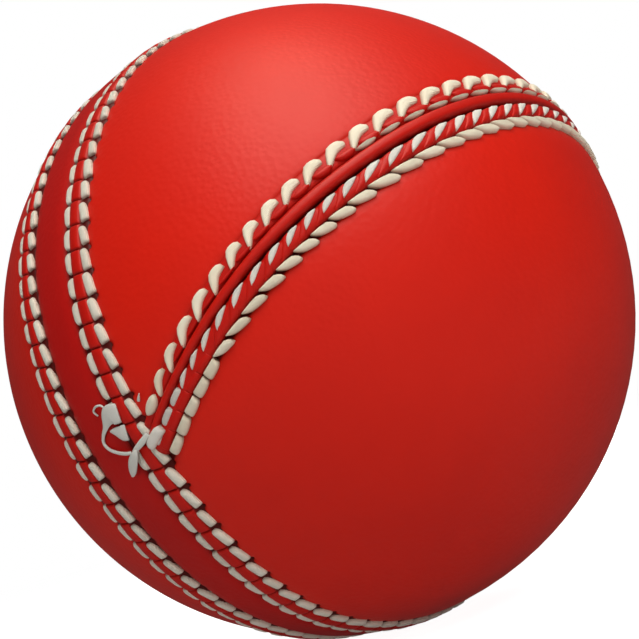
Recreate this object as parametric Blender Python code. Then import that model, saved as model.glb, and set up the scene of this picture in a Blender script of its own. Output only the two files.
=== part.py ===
"""Cricket ball: a wound cork core in a lining, cased in four stitched leather quarters.

Metres, +Z up.  The ball's centre is the origin.  The main seam lies in the XZ plane, so the
two cups of the case face -Y (front) and +Y (back).
"""

import bmesh
import bpy
from math import acos, cos, degrees, pi, radians, sin
from mathutils import Matrix, Vector

# ---------------------------------------------------------------- driving dimensions
MM = 0.001

BALL_RADIUS = 36.0 * MM          # smooth leather surface
SEAM_RADIUS = 36.5 * MM          # tops of the stitches and of the seam band
FLOOR_RADIUS = 35.4 * MM         # rebate that the main seam is sewn down in
GROOVE_RADIUS = 35.46 * MM       # groove that each quarter seam is sewn down in
FIT = 0.3 * MM                   # clearance left between neighbouring pieces

LEATHER_INNER_RADIUS = 32.7 * MM
LINING_OUTER_RADIUS = 32.25 * MM
LINING_INNER_RADIUS = 31.45 * MM

NUCLEUS_RADIUS = 11.0 * MM
CORE_LAYERS = (
    ("yarn_winding_inner", 11.3 * MM, 14.2 * MM),
    ("cork_strip_inner", 14.5 * MM, 18.4 * MM),
    ("yarn_winding_middle", 18.7 * MM, 21.6 * MM),
    ("cork_strip_outer", 21.9 * MM, 26.6 * MM),
    ("yarn_winding_outer", 26.9 * MM, 30.65 * MM),
)
STRIPS_PER_LAYER = 6
STRIP_END_LATITUDE = 78.0        # the strips stop short of the poles of the core
TUCK_HOLE_LATITUDE = 84.0        # edge of the small hole where the yarn's end is tucked in

CORE_SEGMENTS = 18
CORE_BANDS = 7                   # between the ends of the strips
CASE_SEGMENTS = 48
LINING_SEGMENTS = 24

# main seam: four columns of stitches, latitudes measured from the seam plane
MAIN_STITCHES = 94
MAIN_INNER_LATITUDE = 4.73
MAIN_OUTER_LATITUDE = 9.0
STITCH_HALF_WIDTH = 0.9          # degrees
MAIN_RIDGE_LATITUDE = 6.87
MAIN_RIDGE_HALF_WIDTH = 0.82
BAND_HALF_WIDTH = 3.4
RING_STEPS = 60                  # facets round each plain strip
REBATE_LATITUDE = 10.4
SHOULDER_LATITUDE = 11.6

# quarter seam: a circle about a pole tilted away from the cup's own pole
QUARTER_TILT = 51.0
QUARTER_CUT = 68.6               # angular radius of the join between the two quarters
ROW_1_OUTER = 72.7               # large hooked stitches
ROW_1_RIDGE = 71.35
ROW_1_INNER = 70.3               # small stitch ends beside the welt
ROW_2_AT_FEET = 68.3             # middle of the second row where the seam meets the main seam
ROW_2_AT_ARCH = 65.3             # and where it crosses the cup
ROW_2_HALF_SPACING = 1.4
DRIFT_START = 80.0
DRIFT_END = 25.0
QUARTER_STOP_LATITUDE = 11.9     # rows stop this far from the main seam's plane
ROW_1_PITCH = 4.4                # degrees of longitude about the quarter pole
ROW_2_PITCH = 3.95
WELT_END = 62.0
ROW_1_INNER_END = 42.0
GROOVE_EDGE = 1.35               # leather margin outside the outermost stitches

# tie-off knot of the main thread, as (longitude round the seam, latitude, height over the seam)
KNOT_PATH = (
    (-105.0, 11.0, 0.25),
    (-106.5, 8.6, 0.62),
    (-107.5, 6.3, 0.66),
    (-106.4, 3.5, 0.64),
    (-104.2, 2.0, 0.60),
    (-101.9, 2.4, 0.60),
    (-100.7, 4.6, 0.62),
    (-101.2, 6.8, 0.66),
    (-103.4, 7.6, 0.80),
    (-106.0, 7.7, 1.40),
    (-108.4, 7.0, 1.20),
    (-109.8, 5.3, 0.80),
    (-111.1, 3.6, 0.62),
)
KNOT_HALF_WIDTH = 0.36 * MM
KNOT_HALF_THICKNESS = 0.19 * MM

FRONT_POLE = Vector((0.0, -1.0, 0.0))
TOP = Vector((0.0, 0.0, 1.0))
RIGHT = Vector((1.0, 0.0, 0.0))

for old in list(bpy.data.objects):
    bpy.data.objects.remove(old)


# ---------------------------------------------------------------- materials
def make_material(name, colour, roughness):
    material = bpy.data.materials.new(name)
    material.use_nodes = True
    shader = material.node_tree.nodes["Principled BSDF"]
    shader.inputs["Base Color"].default_value = (*colour, 1.0)
    shader.inputs["Roughness"].default_value = roughness
    shader.inputs["Metallic"].default_value = 0.0
    material.diffuse_color = (*colour, 1.0)
    return material


RED_LEATHER = (0.42, 0.016, 0.012)
DARK_LEATHER = (0.26, 0.010, 0.010)
RAW_THREAD = (0.72, 0.58, 0.44)
CORK = (0.46, 0.27, 0.13)
YARN = (0.66, 0.60, 0.50)
LINING = (0.50, 0.36, 0.22)


# ---------------------------------------------------------------- shared shapes
class Circles:
    """Directions on the ball by longitude round a pole and angle away from it, in degrees."""

    def __init__(self, pole, start, side):
        self.pole = pole
        self.start = start
        self.side = side

    def point(self, longitude, angle, radius):
        t = radians(longitude)
        a = radians(angle)
        around = self.start * cos(t) + self.side * sin(t)
        return (self.pole * cos(a) + around * sin(a)) * radius


MAIN = Circles(FRONT_POLE, TOP, RIGHT)
tilt = radians(QUARTER_TILT)
QUARTER = Circles(
    Vector((0.0, -cos(tilt), -sin(tilt))),
    Vector((0.0, -sin(tilt), cos(tilt))),
    RIGHT,
)
CORE = Circles(TOP, RIGHT, Vector((0.0, 1.0, 0.0)))


def add_object(name, verts, faces, colour, roughness, smooth=True):
    """Make one named closed body with its own material, all faces outward."""
    mesh = bpy.data.meshes.new(name)
    mesh.from_pydata([tuple(v) for v in verts], [], faces)
    body = bmesh.new()
    body.from_mesh(mesh)
    bmesh.ops.recalc_face_normals(body, faces=body.faces)
    for face in body.faces:
        face.smooth = smooth
    body.to_mesh(mesh)
    body.free()
    mesh.materials.append(make_material(name + "_material", colour, roughness))
    result = bpy.data.objects.new(name, mesh)
    bpy.context.scene.collection.objects.link(result)
    return result


def loft(sections, closed):
    """Join equal loops of points into a tube, capped at its ends unless it closes on itself."""
    count = len(sections)
    sides = len(sections[0])
    verts = []
    for section in sections:
        verts.extend(section)
    faces = []
    steps = count if closed else count - 1
    for i in range(steps):
        j = (i + 1) % count
        for k in range(sides):
            m = (k + 1) % sides
            faces.append((i * sides + k, i * sides + m, j * sides + m, j * sides + k))
    if not closed:
        faces.append(tuple(range(sides)))
        faces.append(tuple((count - 1) * sides + k for k in range(sides)))
    return verts, faces


def box_section(circles, longitude, angle, half_width, base, crown, inset=1.0):
    """Four-cornered section lying on the ball, narrowed at the crown by inset."""
    top_half = half_width * inset
    return [
        circles.point(longitude, angle - half_width, base),
        circles.point(longitude, angle + half_width, base),
        circles.point(longitude, angle + top_half, crown),
        circles.point(longitude, angle - top_half, crown),
    ]


def roof_section(circles, longitude, angle, half_width, base, crown):
    """Three-cornered section with a ridge."""
    return [
        circles.point(longitude, angle - half_width, base),
        circles.point(longitude, angle + half_width, base),
        circles.point(longitude, angle, crown),
    ]


def dome_section(circles, longitude, angle, half_width, base, crown):
    """Six-cornered section with a rounded crown."""
    shoulder = base + (crown - base) * 0.55
    return [
        circles.point(longitude, angle - half_width, base),
        circles.point(longitude, angle + half_width, base),
        circles.point(longitude, angle + half_width, shoulder),
        circles.point(longitude, angle + half_width * 0.45, crown),
        circles.point(longitude, angle - half_width * 0.45, crown),
        circles.point(longitude, angle - half_width, shoulder),
    ]


# ---------------------------------------------------------------- wound core
def turned_shell(circles, profile, segments, closed_top, closed_bottom):
    """Turn a profile of (angle, radius) about a pole."""
    verts = []
    rings = []
    for index, (angle, radius) in enumerate(profile):
        first_pole = closed_top and index == 0
        last_pole = closed_bottom and index == len(profile) - 1
        if first_pole or last_pole:
            rings.append([len(verts)])
            verts.append(circles.point(0.0, angle, radius))
            continue
        ring = []
        for step in range(segments):
            ring.append(len(verts))
            verts.append(circles.point(360.0 * step / segments, angle, radius))
        rings.append(ring)
    return verts, rings


def bridge_rings(faces, upper, lower):
    """Join two rings of a turned body, either of which may be a single pole point."""
    count = max(len(upper), len(lower))
    for k in range(count):
        m = (k + 1) % count
        if len(upper) == 1:
            faces.append((upper[0], lower[k], lower[m]))
        elif len(lower) == 1:
            faces.append((upper[k], lower[0], upper[m]))
        else:
            faces.append((upper[k], lower[k], lower[m], upper[m]))


def core_angles():
    """Angles from the core's top pole that every layer of it shares."""
    first = 90.0 - STRIP_END_LATITUDE
    step = 2.0 * STRIP_END_LATITUDE / CORE_BANDS
    return [first + step * i for i in range(CORE_BANDS + 1)]


def build_nucleus():
    angles = [0.0] + core_angles() + [180.0]
    profile = [(angle, NUCLEUS_RADIUS) for angle in angles]
    verts, rings = turned_shell(CORE, profile, CORE_SEGMENTS, True, True)
    faces = []
    for upper, lower in zip(rings, rings[1:]):
        bridge_rings(faces, upper, lower)
    return add_object("cork_nucleus", verts, faces, CORK, 0.9)


def build_winding(name, inner, outer):
    """Yarn wound all over the layer below; a small hole at the top takes the tucked end."""
    hole = 90.0 - TUCK_HOLE_LATITUDE
    angles = core_angles() + [180.0]
    outside = [(hole, outer)] + [(angle, outer) for angle in angles]
    inside = [(hole, inner)] + [(angle, inner) for angle in angles]
    verts, outer_rings = turned_shell(CORE, outside, CORE_SEGMENTS, False, True)
    start = len(verts)
    inner_verts, inner_rings = turned_shell(CORE, inside, CORE_SEGMENTS, False, True)
    verts.extend(inner_verts)
    inner_rings = [[index + start for index in ring] for ring in inner_rings]
    faces = []
    for upper, lower in zip(outer_rings, outer_rings[1:]):
        bridge_rings(faces, upper, lower)
    for upper, lower in zip(inner_rings, inner_rings[1:]):
        bridge_rings(faces, upper, lower)
    bridge_rings(faces, outer_rings[0], inner_rings[0])
    return add_object(name, verts, faces, YARN, 0.95)


def build_strips(name, inner, outer):
    """Six curved cork slips laid round the ball side by side."""
    wedge = 360.0 / STRIPS_PER_LAYER
    columns = CORE_SEGMENTS // STRIPS_PER_LAYER
    for number in range(STRIPS_PER_LAYER):
        sections = []
        for angle in core_angles():
            # the edges draw back by half the clearance, measured across the strip
            back = degrees(FIT * 0.5 / (inner * sin(radians(angle))))
            start = number * wedge
            longitudes = [start + wedge * c / columns for c in range(columns + 1)]
            longitudes[0] += back
            longitudes[-1] -= back
            outside = [CORE.point(t, angle, outer) for t in longitudes]
            inside = [CORE.point(t, angle, inner) for t in reversed(longitudes)]
            sections.append(outside + inside)
        verts, faces = loft(sections, False)
        add_object(f"{name}_{number + 1}", verts, faces, CORK, 0.9)


def build_core():
    build_nucleus()
    for name, inner, outer in CORE_LAYERS:
        if name.startswith("cork"):
            build_strips(name, inner, outer)
        else:
            build_winding(name, inner, outer)


# ---------------------------------------------------------------- case
def build_lining():
    """Thin cup glued inside the front half of the case."""
    rim = 90.0 - degrees(FIT * 0.5 / LINING_INNER_RADIUS)
    angles = [0.0, 15.0, 30.0, 45.0, 60.0, 75.0, rim]
    outside = [(angle, LINING_OUTER_RADIUS) for angle in angles]
    inside = [(angle, LINING_INNER_RADIUS) for angle in reversed(angles)]
    profile = outside + inside
    verts, rings = turned_shell(MAIN, profile, LINING_SEGMENTS, True, True)
    faces = []
    for upper, lower in zip(rings, rings[1:]):
        bridge_rings(faces, upper, lower)
    return add_object("lining_cup_front", verts, faces, LINING, 0.85)


def build_front_case():
    """The whole front cup of leather, before it is parted into two quarters."""
    shoulder = 90.0 - SHOULDER_LATITUDE
    bands = 10
    outside = [(shoulder * i / bands, BALL_RADIUS) for i in range(bands + 1)]
    rebate = 90.0 - REBATE_LATITUDE
    rim = 90.0 - degrees(FIT * 0.5 / FLOOR_RADIUS)
    inner_rim = 90.0 - degrees(FIT * 0.5 / LEATHER_INNER_RADIUS)
    outside.append((rebate - 0.35, BALL_RADIUS - 0.12 * MM))
    outside.append((rebate, FLOOR_RADIUS))
    outside.append((85.0, FLOOR_RADIUS))
    outside.append((rim, FLOOR_RADIUS))
    inside = [(inner_rim * i / 6.0, LEATHER_INNER_RADIUS) for i in range(7)]
    verts, outer_rings = turned_shell(MAIN, outside, CASE_SEGMENTS, True, False)
    start = len(verts)
    inner_verts, inner_rings = turned_shell(MAIN, inside, LINING_SEGMENTS, True, False)
    verts.extend(inner_verts)
    inner_rings = [[index + start for index in ring] for ring in inner_rings]
    faces = []
    for upper, lower in zip(outer_rings, outer_rings[1:]):
        bridge_rings(faces, upper, lower)
    for upper, lower in zip(inner_rings, inner_rings[1:]):
        bridge_rings(faces, upper, lower)
    fine = outer_rings[-1]
    coarse = inner_rings[-1]
    for k in range(LINING_SEGMENTS):
        a = fine[2 * k]
        b = fine[2 * k + 1]
        c = fine[(2 * k + 2) % CASE_SEGMENTS]
        near = coarse[k]
        far = coarse[(k + 1) % LINING_SEGMENTS]
        faces.append((a, b, near))
        faces.append((b, far, near))
        faces.append((b, c, far))
    return add_object("front_case", verts, faces, RED_LEATHER, 0.35)


def build_cone_cutter(name, half_angle, shift):
    """Everything nearer the quarter pole than a cone, the cone moved along its axis by shift."""
    reach = 60.0 * MM
    apex = QUARTER.pole * shift
    verts = [apex]
    rings = [[0]]
    segments = 60
    angle = radians(half_angle)
    for radius, height in (
        (reach * sin(angle), reach * cos(angle)),
        (reach * sin(angle), reach),
    ):
        ring = []
        for step in range(segments):
            t = 2.0 * pi * (step + 0.5) / segments
            around = QUARTER.start * cos(t) + QUARTER.side * sin(t)
            ring.append(len(verts))
            verts.append(apex + around * radius + QUARTER.pole * height)
        rings.append(ring)
    rings.append([len(verts)])
    verts.append(apex + QUARTER.pole * reach)
    faces = []
    for upper, lower in zip(rings, rings[1:]):
        bridge_rings(faces, upper, lower)
    return add_object(name, verts, faces, RED_LEATHER, 0.5)


def smoothstep(value):
    clamped = min(1.0, max(0.0, value))
    return clamped * clamped * (3.0 - 2.0 * clamped)


def row_2_middle(longitude):
    """The second row runs beside the first at the feet and draws away from it over the arch."""
    along = (DRIFT_START - abs(longitude)) / (DRIFT_START - DRIFT_END)
    return ROW_2_AT_FEET + (ROW_2_AT_ARCH - ROW_2_AT_FEET) * smoothstep(along)


def foot_longitude(angle, latitude):
    """Longitude about the quarter pole where a circle comes down to a latitude of the main seam."""
    a = radians(angle)
    rise = sin(radians(latitude)) - cos(a) * cos(tilt)
    return degrees(acos(rise / (sin(a) * sin(tilt))))


def build_groove_cutter():
    sections = []
    last = foot_longitude(QUARTER_CUT, REBATE_LATITUDE - 2.0)
    steps = 46
    for i in range(steps + 1):
        longitude = -last + 2.0 * last * i / steps
        low = row_2_middle(longitude) - ROW_2_HALF_SPACING - GROOVE_EDGE
        high = ROW_1_OUTER + GROOVE_EDGE
        middle = (low + high) * 0.5
        half = (high - low) * 0.5
        section = box_section(QUARTER, longitude, middle, half, GROOVE_RADIUS, 40.0 * MM)
        sections.append(section)
    verts, faces = loft(sections, False)
    return add_object("groove_cutter", verts, faces, RED_LEATHER, 0.5)


def boolean(target, cutter, operation):
    modifier = target.modifiers.new(operation.lower(), "BOOLEAN")
    modifier.operation = operation
    modifier.solver = "EXACT"
    modifier.object = cutter
    depsgraph = bpy.context.evaluated_depsgraph_get()
    cut = bpy.data.meshes.new_from_object(target.evaluated_get(depsgraph))
    target.modifiers.clear()
    target.data = cut


def tidy_mesh(target):
    """Weld the points a cut leaves together and drop the ones it leaves on straight edges."""
    body = bmesh.new()
    body.from_mesh(target.data)
    bmesh.ops.remove_doubles(body, verts=body.verts, dist=0.004 * MM)
    bmesh.ops.dissolve_degenerate(body, edges=body.edges, dist=0.004 * MM)
    bmesh.ops.triangulate(body, faces=body.faces)
    bmesh.ops.recalc_face_normals(body, faces=body.faces)
    for face in body.faces:
        face.smooth = True
    body.to_mesh(target.data)
    body.free()


def copy_object(source, name):
    mesh = source.data.copy()
    mesh.name = name
    mesh.materials.clear()
    shader = source.data.materials[0].node_tree.nodes["Principled BSDF"]
    colour = tuple(shader.inputs["Base Color"].default_value)[:3]
    roughness = shader.inputs["Roughness"].default_value
    mesh.materials.append(make_material(name + "_material", colour, roughness))
    result = bpy.data.objects.new(name, mesh)
    bpy.context.scene.collection.objects.link(result)
    return result


def build_front_quarters():
    """Part the front cup along the quarter seam and sink the groove for its stitching."""
    case = build_front_case()
    upper = copy_object(case, "leather_quarter_front_upper")
    lower = copy_object(case, "leather_quarter_front_lower")
    shift = FIT * 0.5 / sin(radians(QUARTER_CUT))
    near_cone = build_cone_cutter("near_cone", QUARTER_CUT, shift)
    far_cone = build_cone_cutter("far_cone", QUARTER_CUT, -shift)
    groove = build_groove_cutter()
    boolean(lower, near_cone, "INTERSECT")
    boolean(upper, far_cone, "DIFFERENCE")
    for quarter in (upper, lower):
        boolean(quarter, groove, "DIFFERENCE")
        tidy_mesh(quarter)
    for helper in (case, near_cone, far_cone, groove):
        bpy.data.objects.remove(helper)
    return [upper, lower]


# ---------------------------------------------------------------- main seam
def build_band():
    """The strip of leather showing between the front and back stitches."""
    sections = []
    base = FLOOR_RADIUS + FIT
    for i in range(RING_STEPS):
        longitude = 360.0 * i / RING_STEPS
        sections.append(dome_section(MAIN, longitude, 90.0, BAND_HALF_WIDTH, base, SEAM_RADIUS))
    verts, faces = loft(sections, True)
    return add_object("seam_band", verts, faces, DARK_LEATHER, 0.4)


def build_main_ridge(name, latitude):
    """The leather pinched up between two columns of stitches."""
    sections = []
    base = FLOOR_RADIUS + FIT
    crown = SEAM_RADIUS - 0.05 * MM
    angle = 90.0 - latitude
    for i in range(RING_STEPS):
        longitude = 360.0 * i / RING_STEPS
        section = box_section(MAIN, longitude, angle, MAIN_RIDGE_HALF_WIDTH, base, crown, 0.7)
        sections.append(section)
    verts, faces = loft(sections, True)
    return add_object(name, verts, faces, RED_LEATHER, 0.45)


def build_main_thread(name, latitude):
    """One column of stitches: the thread swells at each stitch and dips where it goes down."""
    sections = []
    pitch = 360.0 / MAIN_STITCHES
    base = FLOOR_RADIUS + FIT
    for i in range(MAIN_STITCHES):
        angle = 90.0 - latitude
        half = STITCH_HALF_WIDTH
        low = SEAM_RADIUS - 0.42 * MM
        sections.append(roof_section(MAIN, i * pitch, angle, half * 0.65, base, low))
        middle = (i + 0.5) * pitch
        sections.append(roof_section(MAIN, middle, angle, half, base, SEAM_RADIUS))
    verts, faces = loft(sections, True)
    return add_object(name, verts, faces, RAW_THREAD, 0.7)


def build_main_seam():
    build_band()
    for side, sign in (("front", 1.0), ("back", -1.0)):
        build_main_ridge(f"seam_ridge_{side}", sign * MAIN_RIDGE_LATITUDE)
        build_main_thread(f"seam_thread_{side}_inner", sign * MAIN_INNER_LATITUDE)
        build_main_thread(f"seam_thread_{side}_outer", sign * MAIN_OUTER_LATITUDE)


# ---------------------------------------------------------------- quarter seam
def build_quarter_thread(name, middle, pitch, half_width, end=None):
    """Stitches along the quarter seam; middle gives the row's angular radius by longitude."""
    if end is None:
        end = foot_longitude(middle(90.0), QUARTER_STOP_LATITUDE)
    stitches = int(2.0 * end / pitch)
    pitch = 2.0 * end / stitches
    base = GROOVE_RADIUS + FIT
    sections = []
    for i in range(stitches):
        start = -end + i * pitch
        centre = start + 0.5 * pitch
        angle = middle(start)
        low = SEAM_RADIUS - 0.42 * MM
        sections.append(roof_section(QUARTER, start, angle, half_width * 0.6, base, low))
        angle = middle(centre)
        crown = SEAM_RADIUS + 0.05 * MM
        sections.append(roof_section(QUARTER, centre, angle, half_width, base, crown))
    angle = middle(end)
    low = SEAM_RADIUS - 0.42 * MM
    sections.append(roof_section(QUARTER, end, angle, half_width * 0.6, base, low))
    verts, faces = loft(sections, False)
    return add_object(name, verts, faces, RAW_THREAD, 0.7)


def build_quarter_ridge(name, middle, half_width, crown):
    end = foot_longitude(middle(90.0), QUARTER_STOP_LATITUDE)
    base = GROOVE_RADIUS + FIT
    steps = 32
    sections = []
    for i in range(steps + 1):
        longitude = -end + 2.0 * end * i / steps
        angle = middle(longitude)
        sections.append(box_section(QUARTER, longitude, angle, half_width, base, crown, 0.75))
    verts, faces = loft(sections, False)
    return add_object(name, verts, faces, RED_LEATHER, 0.45)


def build_welt():
    """Rounded strip standing between the two rows over the arch, thinning out at both ends."""
    base = GROOVE_RADIUS + FIT
    steps = 32
    sections = []
    for i in range(steps + 1):
        longitude = -WELT_END + 2.0 * WELT_END * i / steps
        row_2_edge = row_2_middle(longitude) + ROW_2_HALF_SPACING + 1.05
        row_1_edge = ROW_1_RIDGE - 1.1
        if abs(longitude) < ROW_1_INNER_END + 4.0:
            row_1_edge = ROW_1_INNER - 0.75
        middle = (row_2_edge + row_1_edge) * 0.5
        half = (row_1_edge - row_2_edge) * 0.5
        crown = SEAM_RADIUS - 0.35 * MM + min(0.4 * MM, half * 0.4 * MM)
        sections.append(dome_section(QUARTER, longitude, middle, half, base, crown))
    verts, faces = loft(sections, False)
    return add_object("front_quarter_welt", verts, faces, RED_LEATHER, 0.4)


def build_front_quarter_seam():
    pieces = [build_welt()]
    pieces.append(
        build_quarter_thread(
            "front_quarter_thread_1", lambda t: ROW_1_OUTER, ROW_1_PITCH, 0.85
        )
    )
    pieces.append(
        build_quarter_thread(
            "front_quarter_thread_2", lambda t: ROW_1_INNER, 4.4, 0.35, ROW_1_INNER_END
        )
    )
    pieces.append(
        build_quarter_thread(
            "front_quarter_thread_3",
            lambda t: row_2_middle(t) + ROW_2_HALF_SPACING,
            ROW_2_PITCH,
            0.62,
        )
    )
    pieces.append(
        build_quarter_thread(
            "front_quarter_thread_4",
            lambda t: row_2_middle(t) - ROW_2_HALF_SPACING,
            ROW_2_PITCH,
            0.62,
        )
    )
    pieces.append(
        build_quarter_ridge(
            "front_quarter_ridge_1", lambda t: ROW_1_RIDGE, 0.28, SEAM_RADIUS - 0.1 * MM
        )
    )
    pieces.append(
        build_quarter_ridge("front_quarter_ridge_2", row_2_middle, 0.45, SEAM_RADIUS - 0.2 * MM)
    )
    return pieces


# ---------------------------------------------------------------- knot
def smooth_path(points, per_span):
    """Catmull-Rom curve through the points."""
    padded = [points[0]] + list(points) + [points[-1]]
    path = []
    for i in range(1, len(padded) - 2):
        p0, p1, p2, p3 = (Vector(padded[i + k]) for k in (-1, 0, 1, 2))
        for step in range(per_span):
            u = step / per_span
            path.append(
                0.5
                * (
                    2.0 * p1
                    + (p2 - p0) * u
                    + (2.0 * p0 - 5.0 * p1 + 4.0 * p2 - p3) * u * u
                    + (3.0 * p1 - 3.0 * p2 + p3 - p0) * u * u * u
                )
            )
    path.append(Vector(points[-1]))
    return path


def build_knot():
    """The main thread is tied off in a flat loop lying on the front stitches."""
    path = []
    for longitude, latitude, height in smooth_path(KNOT_PATH, 2):
        path.append(MAIN.point(longitude, 90.0 - latitude, SEAM_RADIUS + height * MM))
    sections = []
    count = len(path)
    for i, centre in enumerate(path):
        ahead = path[min(i + 1, count - 1)]
        behind = path[max(i - 1, 0)]
        along = (ahead - behind).normalized()
        outward = centre.normalized()
        across = along.cross(outward).normalized()
        outward = across.cross(along).normalized()
        taper = 0.55 if i in (0, count - 1) else 1.0
        section = []
        for k in range(6):
            turn = 2.0 * pi * k / 6
            side = across * cos(turn) * KNOT_HALF_WIDTH * taper
            rise = outward * sin(turn) * KNOT_HALF_THICKNESS * taper
            section.append(centre + side + rise)
        sections.append(section)
    verts, faces = loft(sections, False)
    return add_object("tie_knot", verts, faces, RAW_THREAD, 0.6)


# ---------------------------------------------------------------- assembly
BACK_NAMES = {
    "lining_cup_front": "lining_cup_back",
    "leather_quarter_front_upper": "leather_quarter_back_left",
    "leather_quarter_front_lower": "leather_quarter_back_right",
}


def add_back_half(front_pieces):
    """The back half is the front half turned round, with its quarter seam at right angles."""
    turn = Matrix.Rotation(radians(-90.0), 4, "Y") @ Matrix.Rotation(pi, 4, "Z")
    for source in front_pieces:
        name = BACK_NAMES.get(source.name, source.name.replace("front", "back"))
        copy = copy_object(source, name)
        copy.data.transform(turn)


build_core()
front_half = [build_lining()]
front_half.extend(build_front_quarters())
front_half.extend(build_front_quarter_seam())
add_back_half(front_half)
build_main_seam()
build_knot()

total = sum(len(p.vertices) - 2 for o in bpy.data.objects for p in o.data.polygons)
print("pieces", len(bpy.data.objects), "triangles", total)
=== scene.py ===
# %% [markdown]
# # A hand-stitched cricket ball
# The ball is a hard, wound cork core in a case of four leather quarters. Two straps of linen
# stitches run side by side round the main seam, and a curved, welted seam joins the two quarters
# of each half. This lesson keeps the engineering model as the frame, and builds the surface that
# a hand would feel: leather relief first, then the stitches one row at a time, then the light.

# %% Load the frame
import bmesh
import bpy
import numpy as np
from mathutils import Matrix, Vector


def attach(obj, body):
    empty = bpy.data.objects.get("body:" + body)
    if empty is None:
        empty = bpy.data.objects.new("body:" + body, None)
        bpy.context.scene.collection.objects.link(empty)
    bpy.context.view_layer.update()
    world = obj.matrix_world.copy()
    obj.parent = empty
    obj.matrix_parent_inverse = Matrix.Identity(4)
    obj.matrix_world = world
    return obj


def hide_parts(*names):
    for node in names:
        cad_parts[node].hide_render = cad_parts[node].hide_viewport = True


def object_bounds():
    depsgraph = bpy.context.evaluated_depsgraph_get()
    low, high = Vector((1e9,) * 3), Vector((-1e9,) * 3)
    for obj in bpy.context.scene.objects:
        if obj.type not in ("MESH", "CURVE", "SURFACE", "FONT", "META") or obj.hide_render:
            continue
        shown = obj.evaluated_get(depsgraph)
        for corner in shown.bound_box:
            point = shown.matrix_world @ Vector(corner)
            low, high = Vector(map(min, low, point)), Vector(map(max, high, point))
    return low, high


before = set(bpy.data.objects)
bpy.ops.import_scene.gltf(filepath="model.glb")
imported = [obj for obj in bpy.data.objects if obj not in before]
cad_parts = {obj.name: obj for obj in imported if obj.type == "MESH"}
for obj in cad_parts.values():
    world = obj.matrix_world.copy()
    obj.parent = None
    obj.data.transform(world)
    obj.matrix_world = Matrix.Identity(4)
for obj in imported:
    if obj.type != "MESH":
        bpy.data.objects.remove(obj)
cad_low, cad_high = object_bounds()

print("CAD box in mm:", [round(v * 1000, 2) for v in (*cad_low, *cad_high)])

# %% [markdown]
# ## Finding places on a ball
# Everything on a ball is easiest to place by direction. The main seam is a great circle, so a
# place near it is a longitude round the seam and a latitude off it. The quarter seam is a
# smaller circle about a pole that leans down from the front, so it has a longitude and an angle
# of its own. Two small functions turn such numbers into points.

# %% Sizes and directions
MM = 0.001
BALL_RADIUS = 36.0
FRONT = np.array((0.0, -1.0, 0.0))
TOP = np.array((0.0, 0.0, 1.0))
RIGHT = np.array((1.0, 0.0, 0.0))
LEAN = np.radians(51.0)
QUARTER_POLE = np.array((0.0, -np.cos(LEAN), -np.sin(LEAN)))
QUARTER_START = np.array((0.0, -np.sin(LEAN), np.cos(LEAN)))
QUARTER_CUT = 68.6


def place(pole, start, longitude, angle, radius):
    """Points in mm at longitudes and angles in degrees from a pole, and a radius in mm."""
    longitude, angle, radius = np.broadcast_arrays(
        np.radians(longitude), np.radians(angle), radius
    )
    around = np.cos(longitude)[..., None] * start + np.sin(longitude)[..., None] * RIGHT
    spot = np.cos(angle)[..., None] * pole + np.sin(angle)[..., None] * around
    return spot * radius[..., None]


def on_main(longitude, latitude, radius):
    return place(FRONT, TOP, longitude, 90.0 - np.asarray(latitude, float), radius)


def on_quarter(longitude, angle, radius):
    return place(QUARTER_POLE, QUARTER_START, longitude, angle, radius)


def main_numbers(spots):
    """Longitude and latitude about the main seam of unit directions."""
    longitude = np.degrees(np.arctan2(spots @ RIGHT, spots @ TOP))
    return longitude, np.degrees(np.arcsin(np.clip(spots @ FRONT, -1.0, 1.0)))


def quarter_numbers(spots):
    """Longitude and angle about the quarter seam's pole of unit directions."""
    longitude = np.degrees(np.arctan2(spots @ RIGHT, spots @ QUARTER_START))
    return longitude, np.degrees(np.arccos(np.clip(spots @ QUARTER_POLE, -1.0, 1.0)))


QUARTER_ACROSS = 2.0 * BALL_RADIUS * np.sin(np.radians(QUARTER_CUT))
print("quarter seam is", round(QUARTER_ACROSS, 1), "mm across")

# %% [markdown]
# ## Where the rows run
# The second row of the quarter seam runs tight beside the first at its feet, and draws away over
# the arch to leave room for the rounded welt. The edges are given at a few longitudes and eased
# between them.

# %% Edges of the quarter seam's rows
EDGE_LONGITUDES = (0.0, 20.0, 40.0, 55.0, 70.0, 84.0, 90.0, 110.0)


def eased(values):
    """A smooth curve through values at EDGE_LONGITUDES, the same on both sides of the arch."""
    grid = np.arange(-110.0, 110.5, 0.5)
    rough = np.interp(np.abs(grid), EDGE_LONGITUDES, values)
    window = np.hanning(41)
    soft = np.convolve(np.pad(rough, 20, mode="edge"), window / window.sum(), "valid")
    return lambda longitude: np.interp(longitude, grid, soft)


row_two_outer = eased((63.1, 63.2, 64.0, 65.0, 65.8, 66.1, 66.1, 66.2))
row_two_line = eased((64.9, 65.0, 65.8, 66.75, 67.4, 67.7, 67.7, 67.7))
row_two_crease = eased((67.4, 67.5, 68.1, 69.05, 70.0, 70.2, 70.2, 70.2))
welt_far_edge = eased((69.8, 69.95, 70.45, 71.2, 71.5, 71.4, 71.3, 71.2))
row_one_inner = eased((70.65, 70.7, 70.9, 71.5, 71.45, 71.4, 71.5, 71.5))
row_one_outer = eased((73.9, 73.95, 74.0, 74.3, 74.2, 73.7, 72.9, 72.8))

row_two_span = np.radians(row_two_crease(0) - row_two_outer(0)) * BALL_RADIUS
print("row two spans", round(float(row_two_span), 2), "mm at the arch")

# %% [markdown]
# ## Mesh helpers
# Most of the ball is made from grids of points: a grid becomes a closed body when its rows are
# joined and its ends are capped. Normals are recalculated once at the end, on a closed body.

# %% Mesh helpers
def set_down(name, mesh):
    """A new object at the origin that shows a mesh."""
    placed = bpy.data.objects.new(name, mesh)
    bpy.context.scene.collection.objects.link(placed)
    return placed


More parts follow.
